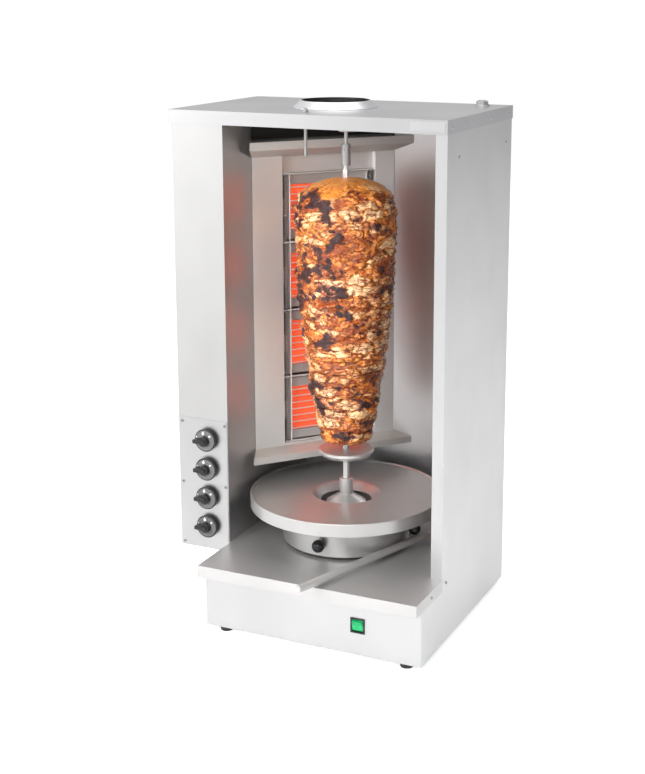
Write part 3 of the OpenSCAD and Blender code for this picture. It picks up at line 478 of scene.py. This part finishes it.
def bars(name, left, low, length, radius, pitch=0.0, count=1, stand=False):
    """A row of bars on the burner wall; stand turns them upright."""
    turn = Matrix.Rotation(math.radians(-90), 4, "Y") if stand else Matrix.Identity(4)
    piece = grown(name, tree, keys, {"Length": length, "Pitch": pitch, "Count": count, "Radius": radius,
                                     "Finish": guard_wire},
                  place=wall_place @ Matrix.Translation((left, GUARD_Y, low)) @ turn, smooth=60)
    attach(piece, "cabinet")


for i, mid in enumerate(burner_mids):
    bars(f"guard_wires_{i + 1}", window_mid - guard_half, mid - (WIRES - 1) / 2 * WIRE_PITCH,
         2 * guard_half, WIRE_R, WIRE_PITCH, WIRES)
for side, left in (("left", window_mid - guard_half), ("right", window_mid + guard_half)):
    bars(f"guard_upright_{side}", left, WINDOW_LOW + ROD_R, window_top - WINDOW_LOW - 2 * ROD_R,
         ROD_R - 0.0003, stand=True)
for i in range(BURNERS + 1):
    level = min(max(WINDOW_LOW + i * BURNER_PITCH, WINDOW_LOW + ROD_R), window_top - ROD_R)
    bars(f"guard_rod_{i + 1}", WINDOW_LEFT, level, WINDOW_RIGHT - WINDOW_LEFT, ROD_R)
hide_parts("burner_guards")

tree, add, given, keys = tree_with(
    "shield_coil", Turns="Float", Height="Float", Radius="Float", Wire="Float", Finish="Material")
helix = add("GeometryNodeCurveSpiral", {
    "Resolution": 14, "Rotations": given["Turns"], "Height": given["Height"],
    "Start Radius": given["Radius"], "End Radius": given["Radius"]})
coiled = wire_swept(add, helix, given["Wire"], 6)
ended(tree, add("GeometryNodeRealizeInstances", {"Geometry": coiled}), Material=given["Finish"])
COIL_INSET, COIL_END, COIL_PITCH, COIL_R, COIL_WIRE_R = 0.0085, 0.004, 0.0055, 0.0036, 0.0010
coil_height = window_top - WINDOW_LOW - 2 * COIL_END
for side, left in (("left", WINDOW_LEFT + COIL_INSET), ("right", WINDOW_RIGHT - COIL_INSET)):
    coil = grown(f"shield_coil_{side}", tree, keys, {
        "Turns": coil_height / COIL_PITCH, "Height": coil_height, "Radius": COIL_R, "Wire": COIL_WIRE_R,
        "Finish": coil_wire}, place=wall_place @ Matrix.Translation((left, GUARD_Y, WINDOW_LOW + COIL_END)), smooth=60)
    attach(coil, "cabinet")

# Gas run. Brass taps on an upright manifold behind the knob plate, pipes to the burners, and a
# threaded inlet at the rear; all hidden but for the inlet and what shows through the vents.
brass = metal("valve_brass", (0.78, 0.52, 0.22), 0.30, (200, 200, 200), wander=0.05, tone=0.08)
for node in ("gas_valves", "gas_manifold", "gas_pipes"):
    painted(node, brass)
folded("gas_inlet", "gas_inlet_stub", brass, edge=0.0005)
for i in range(1, 5):
    folded(f"valve_stem_{i}", f"tap_stem_{i}", turned_steel, edge=0.0003)
knob_plate_steel = metal("knob_plate_steel", (0.645, 0.645, 0.65), 0.36, LEVEL_LINES)
folded("knob_panel", "knob_plate", knob_plate_steel, edge=0.0004)


# Knobs. Black moulded plastic: a round skirt with a dark grey printed face, a middle boss and a
# grip bar, with raised white marks for ignition, low flame and off.
def filleted(outline, radius, steps=4):
    """A closed outline of (across, up) points with every corner rounded."""
    done = []
    for i, here in enumerate(outline):
        here, back, on = Vector(here), Vector(outline[i - 1]), Vector(outline[(i + 1) % len(outline)])
        a, b = (back - here), (on - here)
        cut = min(radius, a.length * 0.45, b.length * 0.45)
        if here.x < 1e-6 or cut < 1e-6:
            done.append(tuple(here))
            continue
        start, end = here + a.normalized() * cut, here + b.normalized() * cut
        for k in range(steps + 1):
            t = k / steps
            done.append(tuple((1 - t) ** 2 * start + 2 * t * (1 - t) * here + t * t * end))
    return done


def spun(outline, steps=96):
    """A mesh of a closed outline of (radius, height) points spun round the Z axis."""
    form = bmesh.new()
    rings = [[form.verts.new((r * math.cos(a), r * math.sin(a), h)) for r, h in outline]
             for a in (2 * math.pi * k / steps for k in range(steps))]
    for k, ring in enumerate(rings):
        following = rings[(k + 1) % steps]
        for j in range(len(outline)):
            n = (j + 1) % len(outline)
            form.faces.new([ring[j], following[j], following[n], ring[n]])
    bmesh.ops.remove_doubles(form, verts=form.verts, dist=1e-6)
    bmesh.ops.dissolve_degenerate(form, edges=form.edges, dist=1e-7)
    bmesh.ops.recalc_face_normals(form, faces=form.faces)
    return mesh_of(form, "spun")


def slab(outline, low, high, edge=0.0, steps=3):
    """A mesh of a flat closed outline pushed up along Z, with its edges rounded."""
    form = bmesh.new()
    base = form.faces.new([form.verts.new((x, y, low)) for x, y in outline])
    up = bmesh.ops.extrude_face_region(form, geom=[base])
    top = [v for v in up["geom"] if isinstance(v, bmesh.types.BMVert)]
    bmesh.ops.translate(form, verts=top, vec=(0, 0, high - low))
    bmesh.ops.recalc_face_normals(form, faces=form.faces)
    if edge:
        sharp = [e for e in form.edges if e.calc_face_angle(0) > math.radians(40)]
        bmesh.ops.bevel(form, geom=sharp, offset=edge, segments=steps, profile=0.5, affect="EDGES")
    return mesh_of(form, "slab")


def joined(meshes, indices):
    """One mesh of several, each with its own material index."""
    form = bmesh.new()
    for mesh, index in zip(meshes, indices):
        before = len(form.faces)
        form.from_mesh(mesh)
        form.faces.ensure_lookup_table()
        for f in form.faces[before:]:
            f.material_index = index
    return mesh_of(form, "joined")


def turned_outline(outline, x=0, y=0, size=1.0, turn=0):
    """A flat outline made larger or smaller, turned by degrees and moved."""
    c, s = math.cos(math.radians(turn)) * size, math.sin(math.radians(turn)) * size
    return [(x + c * a - s * b, y + s * a + c * b) for a, b in outline]


knob_black = moulded("knob_plastic", (0.012, 0.012, 0.013), 0.34)
knob_face = moulded("knob_face_print", (0.115, 0.115, 0.118), 0.48, tone=0.06)
knob_mark = moulded("knob_mark_print", (0.86, 0.86, 0.85), 0.5, tone=0.03)
FLAME = [(0.0, 0.0047), (0.0009, 0.0026), (0.0022, 0.0008), (0.0027, -0.0010), (0.0022, -0.0026), (0.0009, -0.0034),
         (-0.0009, -0.0034), (-0.0022, -0.0026), (-0.0027, -0.0010), (-0.0022, 0.0008), (-0.0009, 0.0026)]
DOT = [(0.0013 * math.cos(a * math.pi / 6), 0.0013 * math.sin(a * math.pi / 6)) for a in range(12)]
SKIRT_H, GRIP_H, KNOB_R, HOLE_R, BOSS_R, FACE_R = 0.007, 0.022, 0.025, 0.0042, 0.0110, 0.0222
BOSS_TOP = GRIP_H - 0.0035
SKIRT = [(HOLE_R, 0), (0.0236, 0), (KNOB_R, 0.0055), (0.0240, SKIRT_H), (FACE_R, SKIRT_H),
         (FACE_R, SKIRT_H - 0.0004), (HOLE_R, SKIRT_H - 0.0004)]
FACE = [(0.0108, SKIRT_H - 0.0006), (0.0224, SKIRT_H - 0.0006), (FACE_R, SKIRT_H - 0.0001), (0.0108, SKIRT_H - 0.0001)]
BOSS = [(0.0, 0.004), (BOSS_R, 0.004), (0.0104, BOSS_TOP), (0.0, BOSS_TOP)]
GRIP = [(-0.0222, -0.0040), (-0.0222, 0.0040), (-0.004, 0.0054), (0.0030, 0.0050), (0.0066, 0.0022),
        (0.0066, -0.0022), (0.0030, -0.0050), (-0.004, -0.0054)]
MARKS = ((FLAME, -0.004, 0.0160, 1.0, 0), (FLAME, 0.0120, 0.0108, 0.72, -50), (DOT, -0.0198, 0.0068, 1.0, 0))
for i in range(1, 5):
    low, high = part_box(f"knob_{i}")
    parts = [spun(filleted(SKIRT, 0.0008, 3), 72), spun(FACE, 72), spun(filleted(BOSS, 0.0016, 4), 48),
             slab(GRIP, 0.005, GRIP_H, 0.0013)]
    parts += [slab(turned_outline(*mark), SKIRT_H - 0.0003, SKIRT_H + 0.0002) for mark in MARKS]
    mesh = joined(parts, [0, 1, 0, 0, 2, 2, 2])
    seat = Matrix.Translation(((low.x + high.x) / 2, high.y, (low.z + high.z) / 2))
    mesh.transform(seat @ Matrix.Rotation(math.radians(90), 4, "X"))
    knob = placed(f"tap_knob_{i}", mesh, [knob_black, knob_face, knob_mark])
    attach(knob, f"knob_{i}")
    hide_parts(f"knob_{i}")


# Screws and rivets. Stainless pan head screws with a cross recess hold the plate, the walls and the
# tray; blind rivets with a hollow middle hold the fold of the top panel.
screw_steel = metal("screw_steel", (0.50, 0.50, 0.51), 0.30, (700, 700, 700), wander=0.05, depth=0.000004)
recess_black = moulded("recess_shadow", (0.03, 0.03, 0.032), 0.7)


def screw_head(radius, height):
    """A domed head with a cross recess, on a short shank, standing on Z = 0."""
    dome = spun(filleted([(0.0, -0.001), (radius * 0.5, -0.001), (radius * 0.5, 0.0), (radius, 0.0),
                          (radius, height * 0.35), (radius * 0.7, height * 0.92), (0.0, height)], radius * 0.16, 3), 20)
    arm, tip = radius * 0.13, radius * 0.55
    recess = [(-tip, -arm), (tip, -arm), (tip, arm), (-tip, arm)]
    cross = [slab(turned_outline(recess, turn=turn), height * 0.78, height) for turn in (0, 90)]
    return joined([dome, *cross], [0, 1, 1])


def rivet_head(radius, height):
    """A low domed ring with a dark middle."""
    return spun(filleted([(0.0, -0.001), (radius, -0.001), (radius, 0.0003), (radius * 0.62, height),
                          (radius * 0.34, height), (radius * 0.28, height * 0.4), (0.0, height * 0.4)],
                         radius * 0.14, 3), 20)


def template(name, mesh, finishes):
    """A fastener for a tree to copy."""
    for finish in finishes:
        mesh.materials.append(finish)
    return linked(name, mesh)


tree, add, given, keys = tree_with("fastener_row", Head="Object", Seed="Int", Finish="Material")
head_form = add("GeometryNodeObjectInfo", {"Object": given["Head"]}, "Geometry")
aim = add("GeometryNodeInputNamedAttribute", {"Name": "aim"}, "Attribute", data_type="FLOAT_VECTOR")
aligned = add("FunctionNodeAlignRotationToVector", {"Vector": aim}, axis="Z")
chance = add("FunctionNodeRandomValue", {"Max": 6.28, "Seed": given["Seed"]}, 1)
twist = add("FunctionNodeEulerToRotation", {"Euler": add("ShaderNodeCombineXYZ", {"Z": chance})})
turned = add("FunctionNodeRotateRotation", {"Rotation": aligned, "Rotate By": twist}, rotation_space="LOCAL")
copies = add("GeometryNodeInstanceOnPoints", {"Points": given["Geometry"], "Instance": head_form, "Rotation": turned})
real = add("GeometryNodeRealizeInstances", {"Geometry": copies})
first_finish = add("FunctionNodeCompare", {2: add("GeometryNodeInputMaterialIndex")}, "Result",
                   data_type="INT", operation="EQUAL")
ended(tree, real, Selection=first_finish, Material=given["Finish"])

oven_low, oven_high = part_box("top_panel")
plate_low, plate_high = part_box("knob_panel")
wall_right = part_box("right_side_panel")[1].x
column_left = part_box("left_side_panel")[0].x
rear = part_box("rear_panel")[1].y


def beside(y, z):
    """Depth and height of a place in millimetres behind the top panel's front and above the floor."""
    return oven_low.y + y / 1000, z / 1000


RIGHT_SCREWS, TRAY_SCREW = ((67, 1004), (350, 1006), (29, 139)), (-55, 140)
LEFT_SCREWS = ((40, 1004), (350, 1004), (40, 152.5), (350, 152.5))
REAR_SCREWS = [(x, z) for z in (160, 330, 500, 670, 840, 1010) for x in (16, 605)]
screws = [((x, plate_low.y, z), (0, -1, 0)) for x in (plate_low.x + 0.0085, plate_high.x - 0.0045)
          for z in (plate_low.z + 0.008, (plate_low.z + plate_high.z) / 2, plate_high.z - 0.009)]
screws += [((wall_right, *beside(y, z)), (1, 0, 0)) for y, z in RIGHT_SCREWS]
screws += [((oven_high.x, *beside(*TRAY_SCREW)), (1, 0, 0))]
screws += [((column_left, *beside(y, z)), (-1, 0, 0)) for y, z in LEFT_SCREWS]
screws += [((oven_low.x + x / 1000, rear, z / 1000), (0, 1, 0)) for x, z in REAR_SCREWS]
rivets = [((side, beside(y, 0)[0], oven_high.z - 0.015), (-1 if side < 0 else 1, 0, 0))
          for side in (oven_low.x, oven_high.x) for y in (29, 134, 245, 360)]
for name, node, head, seed, rows in (
        ("panel_screws", "cabinet_screws",
         template("screw_head", screw_head(0.0038, 0.0020), [screw_steel, recess_black]), 7, screws),
        ("lid_rivets", "top_rivets", template("rivet_head", rivet_head(0.0038, 0.0016), [screw_steel]), 3, rivets)):
    piece = grown(name, tree, keys, {"Head": head, "Seed": seed, "Finish": screw_steel}, *zip(*rows))
    bpy.data.objects.remove(head)
    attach(piece, "cabinet")
    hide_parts(node)

# Switch. A snapped-in black plastic bezel with a green translucent rocker that is lit from behind,
# a terminal block inside the base, and a gland at the rear for a lead.
bezel_black = moulded("bezel_plastic", (0.014, 0.014, 0.015), 0.38)
folded("switch_housing", "switch_bezel", bezel_black, edge=0.0008, steps=3)
lens = bpy.data.materials.new("switch_green")
finish = Finish(lens)
inside = finish.noise(finish.place, (70, 70, 90), 2.0)
finish.give({
    "Base Color": finish.mixed(finish.spread(inside, 0, 1), (0.0, 0.16, 0.05), (0.02, 0.42, 0.15)),
    "Emission Color": finish.mixed(finish.spread(inside, 0, 1), (0.0, 0.06, 0.015), (0.0, 0.20, 0.06)),
    "Emission Strength": 1.0, "Roughness": finish.spread(inside, 0.18, 0.30)})
finish.bump(inside, 0.2, 0.0001)
folded("switch_rocker", "switch_lens", lens, edge=0.0006, steps=3)
painted("terminal_block", moulded("terminal_plastic", (0.70, 0.68, 0.60), 0.5))
folded("cable_gland", "cable_gland_body", bezel_black, edge=0.0006)

# Swing frame. A tube that turns on the post and carries the arm over the spit, the motor drum and the
# pan; a long satin steel lever, welded to it beside the drum, swings the whole drive by hand.
spit_low, spit_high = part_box("skewer")
AXIS = ((spit_low.x + spit_high.x) / 2, (spit_low.y + spit_high.y) / 2)
tube_steel = metal("tube_steel", (0.56, 0.55, 0.54), 0.42, (300, 300, 10),
                   depth=0.000005, bright=0.85)
lever_steel = metal("lever_steel", (0.60, 0.59, 0.58), 0.44, (900, 900, 900), wander=0.02,
                    depth=0.000003, tone=0.03, bright=0.6)
folded("swing_tube", "swing_tube_body", tube_steel, edge=0.0005)
folded("upper_arm", "spit_arm", tube_steel, edge=0.0006)
folded("lever_rod", "swing_lever", lever_steel, edge=0.0006)

# Motor drum. A rolled and welded stainless ring over a black ring that is painted shade for the gap above the
# tray, with the geared motor inside, a fat cup in its lid, and four black ball knobs screwed in through its side.
drum_steel = metal("drum_steel", (0.60, 0.595, 0.59), 0.36, (4, 4, 420), wander=0.025,
                   depth=0.000006, tone=0.03, bright=0.9)
cup_steel = metal("cup_steel", (0.50, 0.49, 0.48), 0.34, (500, 5, 500), wander=0.05, depth=0.000005, axis=AXIS)
glide_black = moulded("glide_plastic", (0.02, 0.02, 0.02), 0.55)
ball_black = moulded("ball_plastic", (0.008, 0.008, 0.009), 0.14, grain=60, depth=0.00002, wander=0.04)
folded("drum_shell", "drum_ring", drum_steel, edge=0.0005)
folded("drum_base", "drum_floor", tube_steel, edge=0.0004)
# Painted shade: the black ring under the drum stands for the shadow in the gap between the drum and the tray.
folded("glide_ring", "glide_ring_body", glide_black, edge=0.0006)
painted("gearmotor", moulded("motor_paint", (0.10, 0.11, 0.12), 0.45))
folded("grease_cup", "fat_cup", cup_steel, edge=0.0003)
DRUM_R, BALL_OUT, BALL_R, BALL_Z = 0.137, 0.015, 0.0135, 0.188
BALL = [(BALL_R * math.sin(math.pi * k / 24), -BALL_R * math.cos(math.pi * k / 24)) for k in range(24)]
BALL.append((0.0, BALL_R))
COLLAR = [(0.0, -BALL_R - 0.0010), (0.0062, -BALL_R - 0.0010), (0.0050, -BALL_R + 0.0030), (0.0, -BALL_R + 0.0030)]
STUD = [(0.0, -0.0275), (0.0028, -0.0275), (0.0028, -0.012), (0.0, -0.012)]
for i, angle in enumerate((-88, 9, 92, 189), 1):
    a = math.radians(angle)
    mesh = joined([spun(BALL, 48), spun(filleted(COLLAR, 0.0005, 3), 32), spun(STUD, 24)], [0, 0, 1])
    out = Matrix.Rotation(a, 4, "Z") @ Matrix.Rotation(math.radians(90), 4, "Y")
    centre = (AXIS[0] + (DRUM_R + BALL_OUT) * math.cos(a), AXIS[1] + (DRUM_R + BALL_OUT) * math.sin(a), BALL_Z)
    mesh.transform(Matrix.Translation(centre) @ out)
    knob = placed(f"ball_grip_{i}", mesh, [ball_black, turned_steel])
    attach(knob, f"ball_{i}")
    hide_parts(f"ball_knob_{i}")

# Fat pan. Spun from stainless sheet: an upright band with a rolled rim, a groove inside it, a flat
# floor and a funnel in the middle that lets the fat run down round the hub.
pan_steel = metal("pan_steel", (0.64, 0.63, 0.62), 0.38, (260, 5, 260), wander=0.015,
                  depth=0.000004, tone=0.03, axis=AXIS, bright=0.85)
folded("fat_pan", "spun_pan", pan_steel, edge=0.0006, steps=3)

# Spit. A turned hub with a skirt over the fat cup, a square skewer that stands in it, the plate that
# the meat rests on, and the sleeve that locks the top of the skewer to the arm.
hub_steel = metal("hub_steel", (0.66, 0.65, 0.64), 0.36, (500, 5, 500), wander=0.02,
                  depth=0.000004, axis=AXIS, bright=0.8)
skewer_steel = metal("skewer_steel", (0.70, 0.69, 0.68), 0.40, (260, 260, 8),
                     depth=0.000005, bright=0.8)
folded("drive_hub", "spit_hub", hub_steel, edge=0.0006, steps=3)
folded("skewer", "square_skewer", skewer_steel, edge=0.0005)
folded("spit_disc", "meat_plate", hub_steel, edge=0.0006, steps=3)
folded("locking_sleeve", "spit_sleeve", turned_steel, edge=0.0009, steps=3)

# Meat. A tall stack of marinated slices pressed on the skewer and carved round, so its side shows
# cut pieces, glazed fat, gaps between slices with painted shade, and charred tips on the side of the burners.
MEAT_COLUMNS, MEAT_ROWS = 400, 220
meat_low, meat_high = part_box("meat_stack")
MEAT_R = (meat_high.x - meat_low.x) / 2
meat_h = meat_high.z - meat_low.z
# Share of the height, and share of the largest radius there.
OUTLINE = [(0.0, 0.47), (0.02, 0.52), (0.07, 0.57), (0.14, 0.645), (0.26, 0.745), (0.39, 0.835), (0.51, 0.90),
           (0.66, 0.955), (0.82, 1.0), (0.90, 0.965), (0.945, 0.87), (0.975, 0.66), (0.992, 0.36)]
up_share = np.linspace(0.0, OUTLINE[-1][0], MEAT_ROWS)
around = np.linspace(0, 2 * math.pi, MEAT_COLUMNS, endpoint=False)
U, A = np.meshgrid(up_share, around, indexing="ij")
profile = np.interp(U, [p[0] for p in OUTLINE], [p[1] for p in OUTLINE]) * MEAT_R


def value_noise(x, y, z, seed):
    """Smooth noise between -1 and 1 on arrays of places, one cell to a unit."""
    table = np.random.default_rng(seed).uniform(-1, 1, (64, 64, 64))
    i, j, k = (np.floor(n).astype(int) for n in (x, y, z))
    fx, fy, fz = (n - np.floor(n) for n in (x, y, z))
    fx, fy, fz = (f * f * (3 - 2 * f) for f in (fx, fy, fz))
    total = 0
    for dx in (0, 1):
        for dy in (0, 1):
            for dz in (0, 1):
                weight = (fx if dx else 1 - fx) * (fy if dy else 1 - fy) * (fz if dz else 1 - fz)
                total = total + weight * table[(i + dx) % 64, (j + dy) % 64, (k + dz) % 64]
    return total


def fractal(x, y, z, seed, octaves=4):
    total, size, share = 0, 1.0, 0.5
    for n in range(octaves):
        total = total + share * value_noise(x * size, y * size, z * size, seed + n)
        size, share = size * 2.03, share * 0.5
    return total


def cells(x, y, z, seed):
    """How far the second nearest of scattered centres is beyond the nearest, and the nearest's number."""
    i, j, k = (np.floor(n).astype(int) for n in (x, y, z))
    near = np.full(x.shape, 9.0)
    second = np.full(x.shape, 9.0)
    number = np.zeros(x.shape)
    table = np.random.default_rng(seed).uniform(0, 1, (32, 32, 32, 4))
    for dx in (-1, 0, 1):
        for dy in (-1, 0, 1):
            for dz in (-1, 0, 1):
                spot = table[(i + dx) % 32, (j + dy) % 32, (k + dz) % 32]
                gap = np.sqrt((i + dx + spot[..., 0] - x) ** 2 + (j + dy + spot[..., 1] - y) ** 2
                              + (k + dz + spot[..., 2] - z) ** 2)
                closer = gap < near
                second = np.where(closer, near, np.minimum(second, gap))
                number = np.where(closer, spot[..., 3], number)
                near = np.where(closer, gap, near)
    return second - near, number


def step_between(value, low, high):
    t = np.clip((value - low) / (high - low), 0, 1)
    return t * t * (3 - 2 * t)


height = U * meat_h
px, py = profile * np.cos(A), profile * np.sin(A)


def scaled(across, up):
    """The places on the meat, measured in noise cells: so many to the metre across and up."""
    return px * across, py * across, height * up


low_part = 1 - step_between(U, 0.30, 0.62)
dome = step_between(U + 0.02 * np.sin(3 * A + 0.6) + 0.012 * np.sin(7 * A), 0.945, 0.975)
warp = [fractal(*scaled(38, 38), seed, 3) for seed in (21, 31, 41)]

# Slices lie in large cells that grow wider and thicker towards the bottom; shreds in small ones.
SLICE_WIDE, SLICE_THICK, SHRED_WIDE, SHRED_THICK = 0.042, 0.0185, 0.0155, 0.0075
wide = 1.0 - 0.38 * low_part
slice_edge, slice_tone = cells(
    (px + 0.017 * warp[0]) / SLICE_WIDE * wide, (py + 0.017 * warp[1]) / SLICE_WIDE * wide,
    (height + 0.012 * warp[2]) / (SLICE_THICK + 0.008 * low_part), 51)
shred_edge, shred_tone = cells(
    (px + 0.005 * warp[1]) / SHRED_WIDE, (py + 0.005 * warp[2]) / SHRED_WIDE,
    (height + 0.004 * warp[0]) / SHRED_THICK, 61)

# Char gathers in level bands, most of all where the meat faces the burners.
char_field = fractal(px * 30 + 3, py * 30, height * 44, 71, 4) + 0.30 * (shred_tone - 0.5)
to_heat = -np.cos(A - math.radians(45))
band = 0.20 * value_noise(*scaled(5, 26), 73)
char_raw = (char_field + 0.10 * to_heat + band - 0.05) * (1 - 0.4 * dome)
char = step_between(char_raw, 0.20, 0.32)
# Painted shade: the gap mask darkens the colour along the sunk edges of the slices.
gap = (1 - step_between(slice_edge, 0.0, 0.14)) * step_between(value_noise(*scaled(30, 40), 75), -0.3, 0.2)

# Level gaps between the slices of the lower part, sunk and painted dark as their shade.
GAP_PITCH = 0.027
levels = np.abs(np.sin(math.pi * (height + 0.0035 * warp[2] + 0.0025 * warp[0]) / GAP_PITCH))
streak = (1 - step_between(levels, 0.03, 0.22)) * step_between(value_noise(*scaled(16, 60), 81), -0.25, 0.25) * low_part

# Relief in metres: slices and shreds stand out, gaps are sunk, and the whole side waves slowly.
relief = 0.0052 * (step_between(slice_edge, 0.0, 0.55) - 0.6) + 0.0030 * (slice_tone - 0.5)
relief = relief + 0.0016 * (step_between(shred_edge, 0.0, 0.5) - 0.5) * (1 - 0.6 * low_part)
relief = relief - 0.0048 * streak + 0.0010 * fractal(*scaled(210, 260), 91, 3) + 0.0022 * (char - 0.3) * (1 - dome)
relief = relief + 0.0042 * fractal(*scaled(15, 12), 95, 2)
relief = relief * (1 - 0.55 * dome) + dome * 0.0035 * fractal(A * 3.2, height * 6, U, 97, 2)
radius = np.maximum(np.minimum(profile * 0.965 + relief, MEAT_R - 0.0004), 0.020)
droop = 0.0032 * fractal(*scaled(60, 40), 99, 2) * (1 - dome) * step_between(U, 0.0, 0.03)
rise = np.clip(meat_low.z + 0.0006 + U * (meat_h - 0.0012) + droop, meat_low.z + 0.0005, meat_high.z - 0.0008)
xs, ys = AXIS[0] + radius * np.cos(A), AXIS[1] + radius * np.sin(A)
verts = np.stack([xs, ys, rise], axis=-1).reshape(-1, 3)
index = np.arange(MEAT_ROWS * MEAT_COLUMNS).reshape(MEAT_ROWS, MEAT_COLUMNS)
ahead = np.roll(index, -1, axis=1)
quads = np.stack([index[:-1], ahead[:-1], ahead[1:], index[1:]], axis=-1).reshape(-1, 4)
top_mid, low_mid = len(verts), len(verts) + 1
verts = np.vstack([verts, [[*AXIS, meat_high.z - 0.0004], [*AXIS, meat_low.z + 0.0004]]])
caps = [(index[-1, k], ahead[-1, k], top_mid) for k in range(MEAT_COLUMNS)]
caps += [(ahead[0, k], index[0, k], low_mid) for k in range(MEAT_COLUMNS)]
meat_mesh = bpy.data.meshes.new("meat")
meat_mesh.from_pydata(verts.tolist(), [], quads.tolist() + caps)
for label, field in (("gap", gap), ("streak", streak), ("char", char_raw + 0.2), ("dome", dome)):
    flat = np.append(np.clip(field, 0, 1).reshape(-1), [1.0 if label == "dome" else 0.0, 0.0])
    mark = meat_mesh.attributes.new(label, "FLOAT", "POINT")
    mark.data.foreach_set("value", flat.astype(np.float32))

roast = bpy.data.materials.new("roast_meat")
finish = Finish(roast)
noise, span, blend = finish.noise, finish.spread, finish.mixed


def field_of(label):
    """A field that the mesh carries."""
    return finish.add("ShaderNodeAttribute", {}, "Fac", attribute_name=label)


def total(first, second, operation="ADD"):
    """Two values added or multiplied, kept between 0 and 1."""
    return finish.add("ShaderNodeMath", {0: first, 1: second}, operation=operation, use_clamp=True)


def pushed_by(start, size, amount):
    """The same places pushed about by noise."""
    return finish.add("ShaderNodeVectorMath", {0: noise(start, size, 3.0, "Color"), 1: (amount,) * 3, 2: start},
                      operation="MULTIPLY_ADD")


def cell_map(start, size):
    """Scattered cells: their random tone, and the distance to their edges."""
    for feature, output in (("F1", "Color"), ("DISTANCE_TO_EDGE", "Distance")):
        mapped = finish.add("ShaderNodeMapping", {"Scale": size, "Vector": start})
        yield finish.add("ShaderNodeTexVoronoi", {"Scale": 1.0, "Vector": mapped}, output, feature=feature)


CREAM, PALE, GRAVY, AMBER = (0.98, 0.76, 0.48), (0.76, 0.43, 0.16), (0.42, 0.085, 0.009), (0.86, 0.31, 0.038)
RUST_DARK, RUST_LIGHT, GLAZE = (0.085, 0.014, 0.004), (0.42, 0.080, 0.010), (0.78, 0.26, 0.030)
pushed = pushed_by(finish.place, (34, 34, 62), 0.026)
slice_hue, slice_rim = cell_map(pushed, (17, 17, 44))
shred_hue, shred_rim = cell_map(pushed_by(pushed, (130, 130, 210), 0.007), (58, 58, 130))
fine = noise(finish.place, (330, 330, 520), 5.0)
mid = noise(pushed, (85, 85, 150), 4.0)
slow = noise(finish.place, (20, 20, 34), 3.0)
fibre = noise(pushed, (55, 55, 420), 5.0)
cream = blend(span(fibre, 0, 1, 0.38, 0.62), PALE, CREAM)
orange = blend(span(mid, 0, 1, 0.38, 0.62), GRAVY, AMBER)
rust = blend(span(fine, 0, 1, 0.35, 0.6), RUST_DARK, RUST_LIGHT)
pick = total(span(slice_hue, 0, 1.1, 0.40, 0.50), span(mid, -0.55, 0.25, 0.32, 0.55))
surface = blend(pick, orange, cream)
surface = blend(span(slice_rim, 0.9, 0, 0.03, 0.17), surface, GLAZE)
shreds = total(span(shred_hue, 0, 0.92, 0.56, 0.66), span(pick, 1, 0.25, 0.5, 1), "MULTIPLY")
surface = blend(shreds, surface, rust)
surface = blend(span(fibre, 0, 0.55, 0.60, 0.66), surface, orange)
line = total(span(slice_rim, 1, 0, 0.015, 0.085), span(mid, 0, 1, 0.38, 0.52), "MULTIPLY")
surface = blend(line, surface, (0.090, 0.014, 0.004))
line = total(span(shred_rim, 1, 0, 0.02, 0.12), span(slow, 0, 1, 0.42, 0.52), "MULTIPLY")
surface = blend(line, surface, (0.20, 0.032, 0.006))
# Painted shade in the gaps between the slices.
surface = blend(span(field_of("gap"), 0, 0.8, 0.35, 0.95), surface, (0.13, 0.022, 0.007))
skin = blend(span(mid, 0, 1), (0.60, 0.16, 0.012), (0.92, 0.36, 0.045))
surface = blend(span(field_of("dome"), 0, 0.85, 0, 1), surface, skin)
burnt = total(field_of("char"), span(mid, -0.16, 0.16, 0.3, 0.7))
burnt = total(burnt, span(fine, -0.09, 0.09, 0.3, 0.7))
surface = blend(span(burnt, 0, 0.85, 0.24, 0.38), surface, rust)
# Painted shade in the level gaps of the lower part.
surface = blend(span(field_of("streak"), 0, 0.95, 0.2, 0.9), surface, (0.045, 0.010, 0.007))
black = blend(span(fine, 0, 1, 0.4, 0.7), (0.010, 0.004, 0.007), (0.060, 0.018, 0.018))
surface = blend(span(burnt, 0, 0.97, 0.38, 0.46), surface, black)
finish.give({"Base Color": surface, "Roughness": span(mid, 0.30, 0.55), "Coat Weight": 0.35, "Coat Roughness": 0.20,
             "Subsurface Weight": 0.05, "Subsurface Radius": (0.006, 0.002, 0.001)})
lumps = total(span(slice_rim, 0, 0.42, 0.0, 0.22), span(shred_rim, 0, 0.22, 0.0, 0.30))
lumps = total(lumps, span(fibre, 0, 0.24, 0.3, 0.7))
finish.bump(total(lumps, span(fine, 0, 0.12, 0.3, 0.7)), 0.85, 0.0032)
meat = placed("roast", meat_mesh, roast, 70)
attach(meat, "spit")
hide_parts("meat_stack")
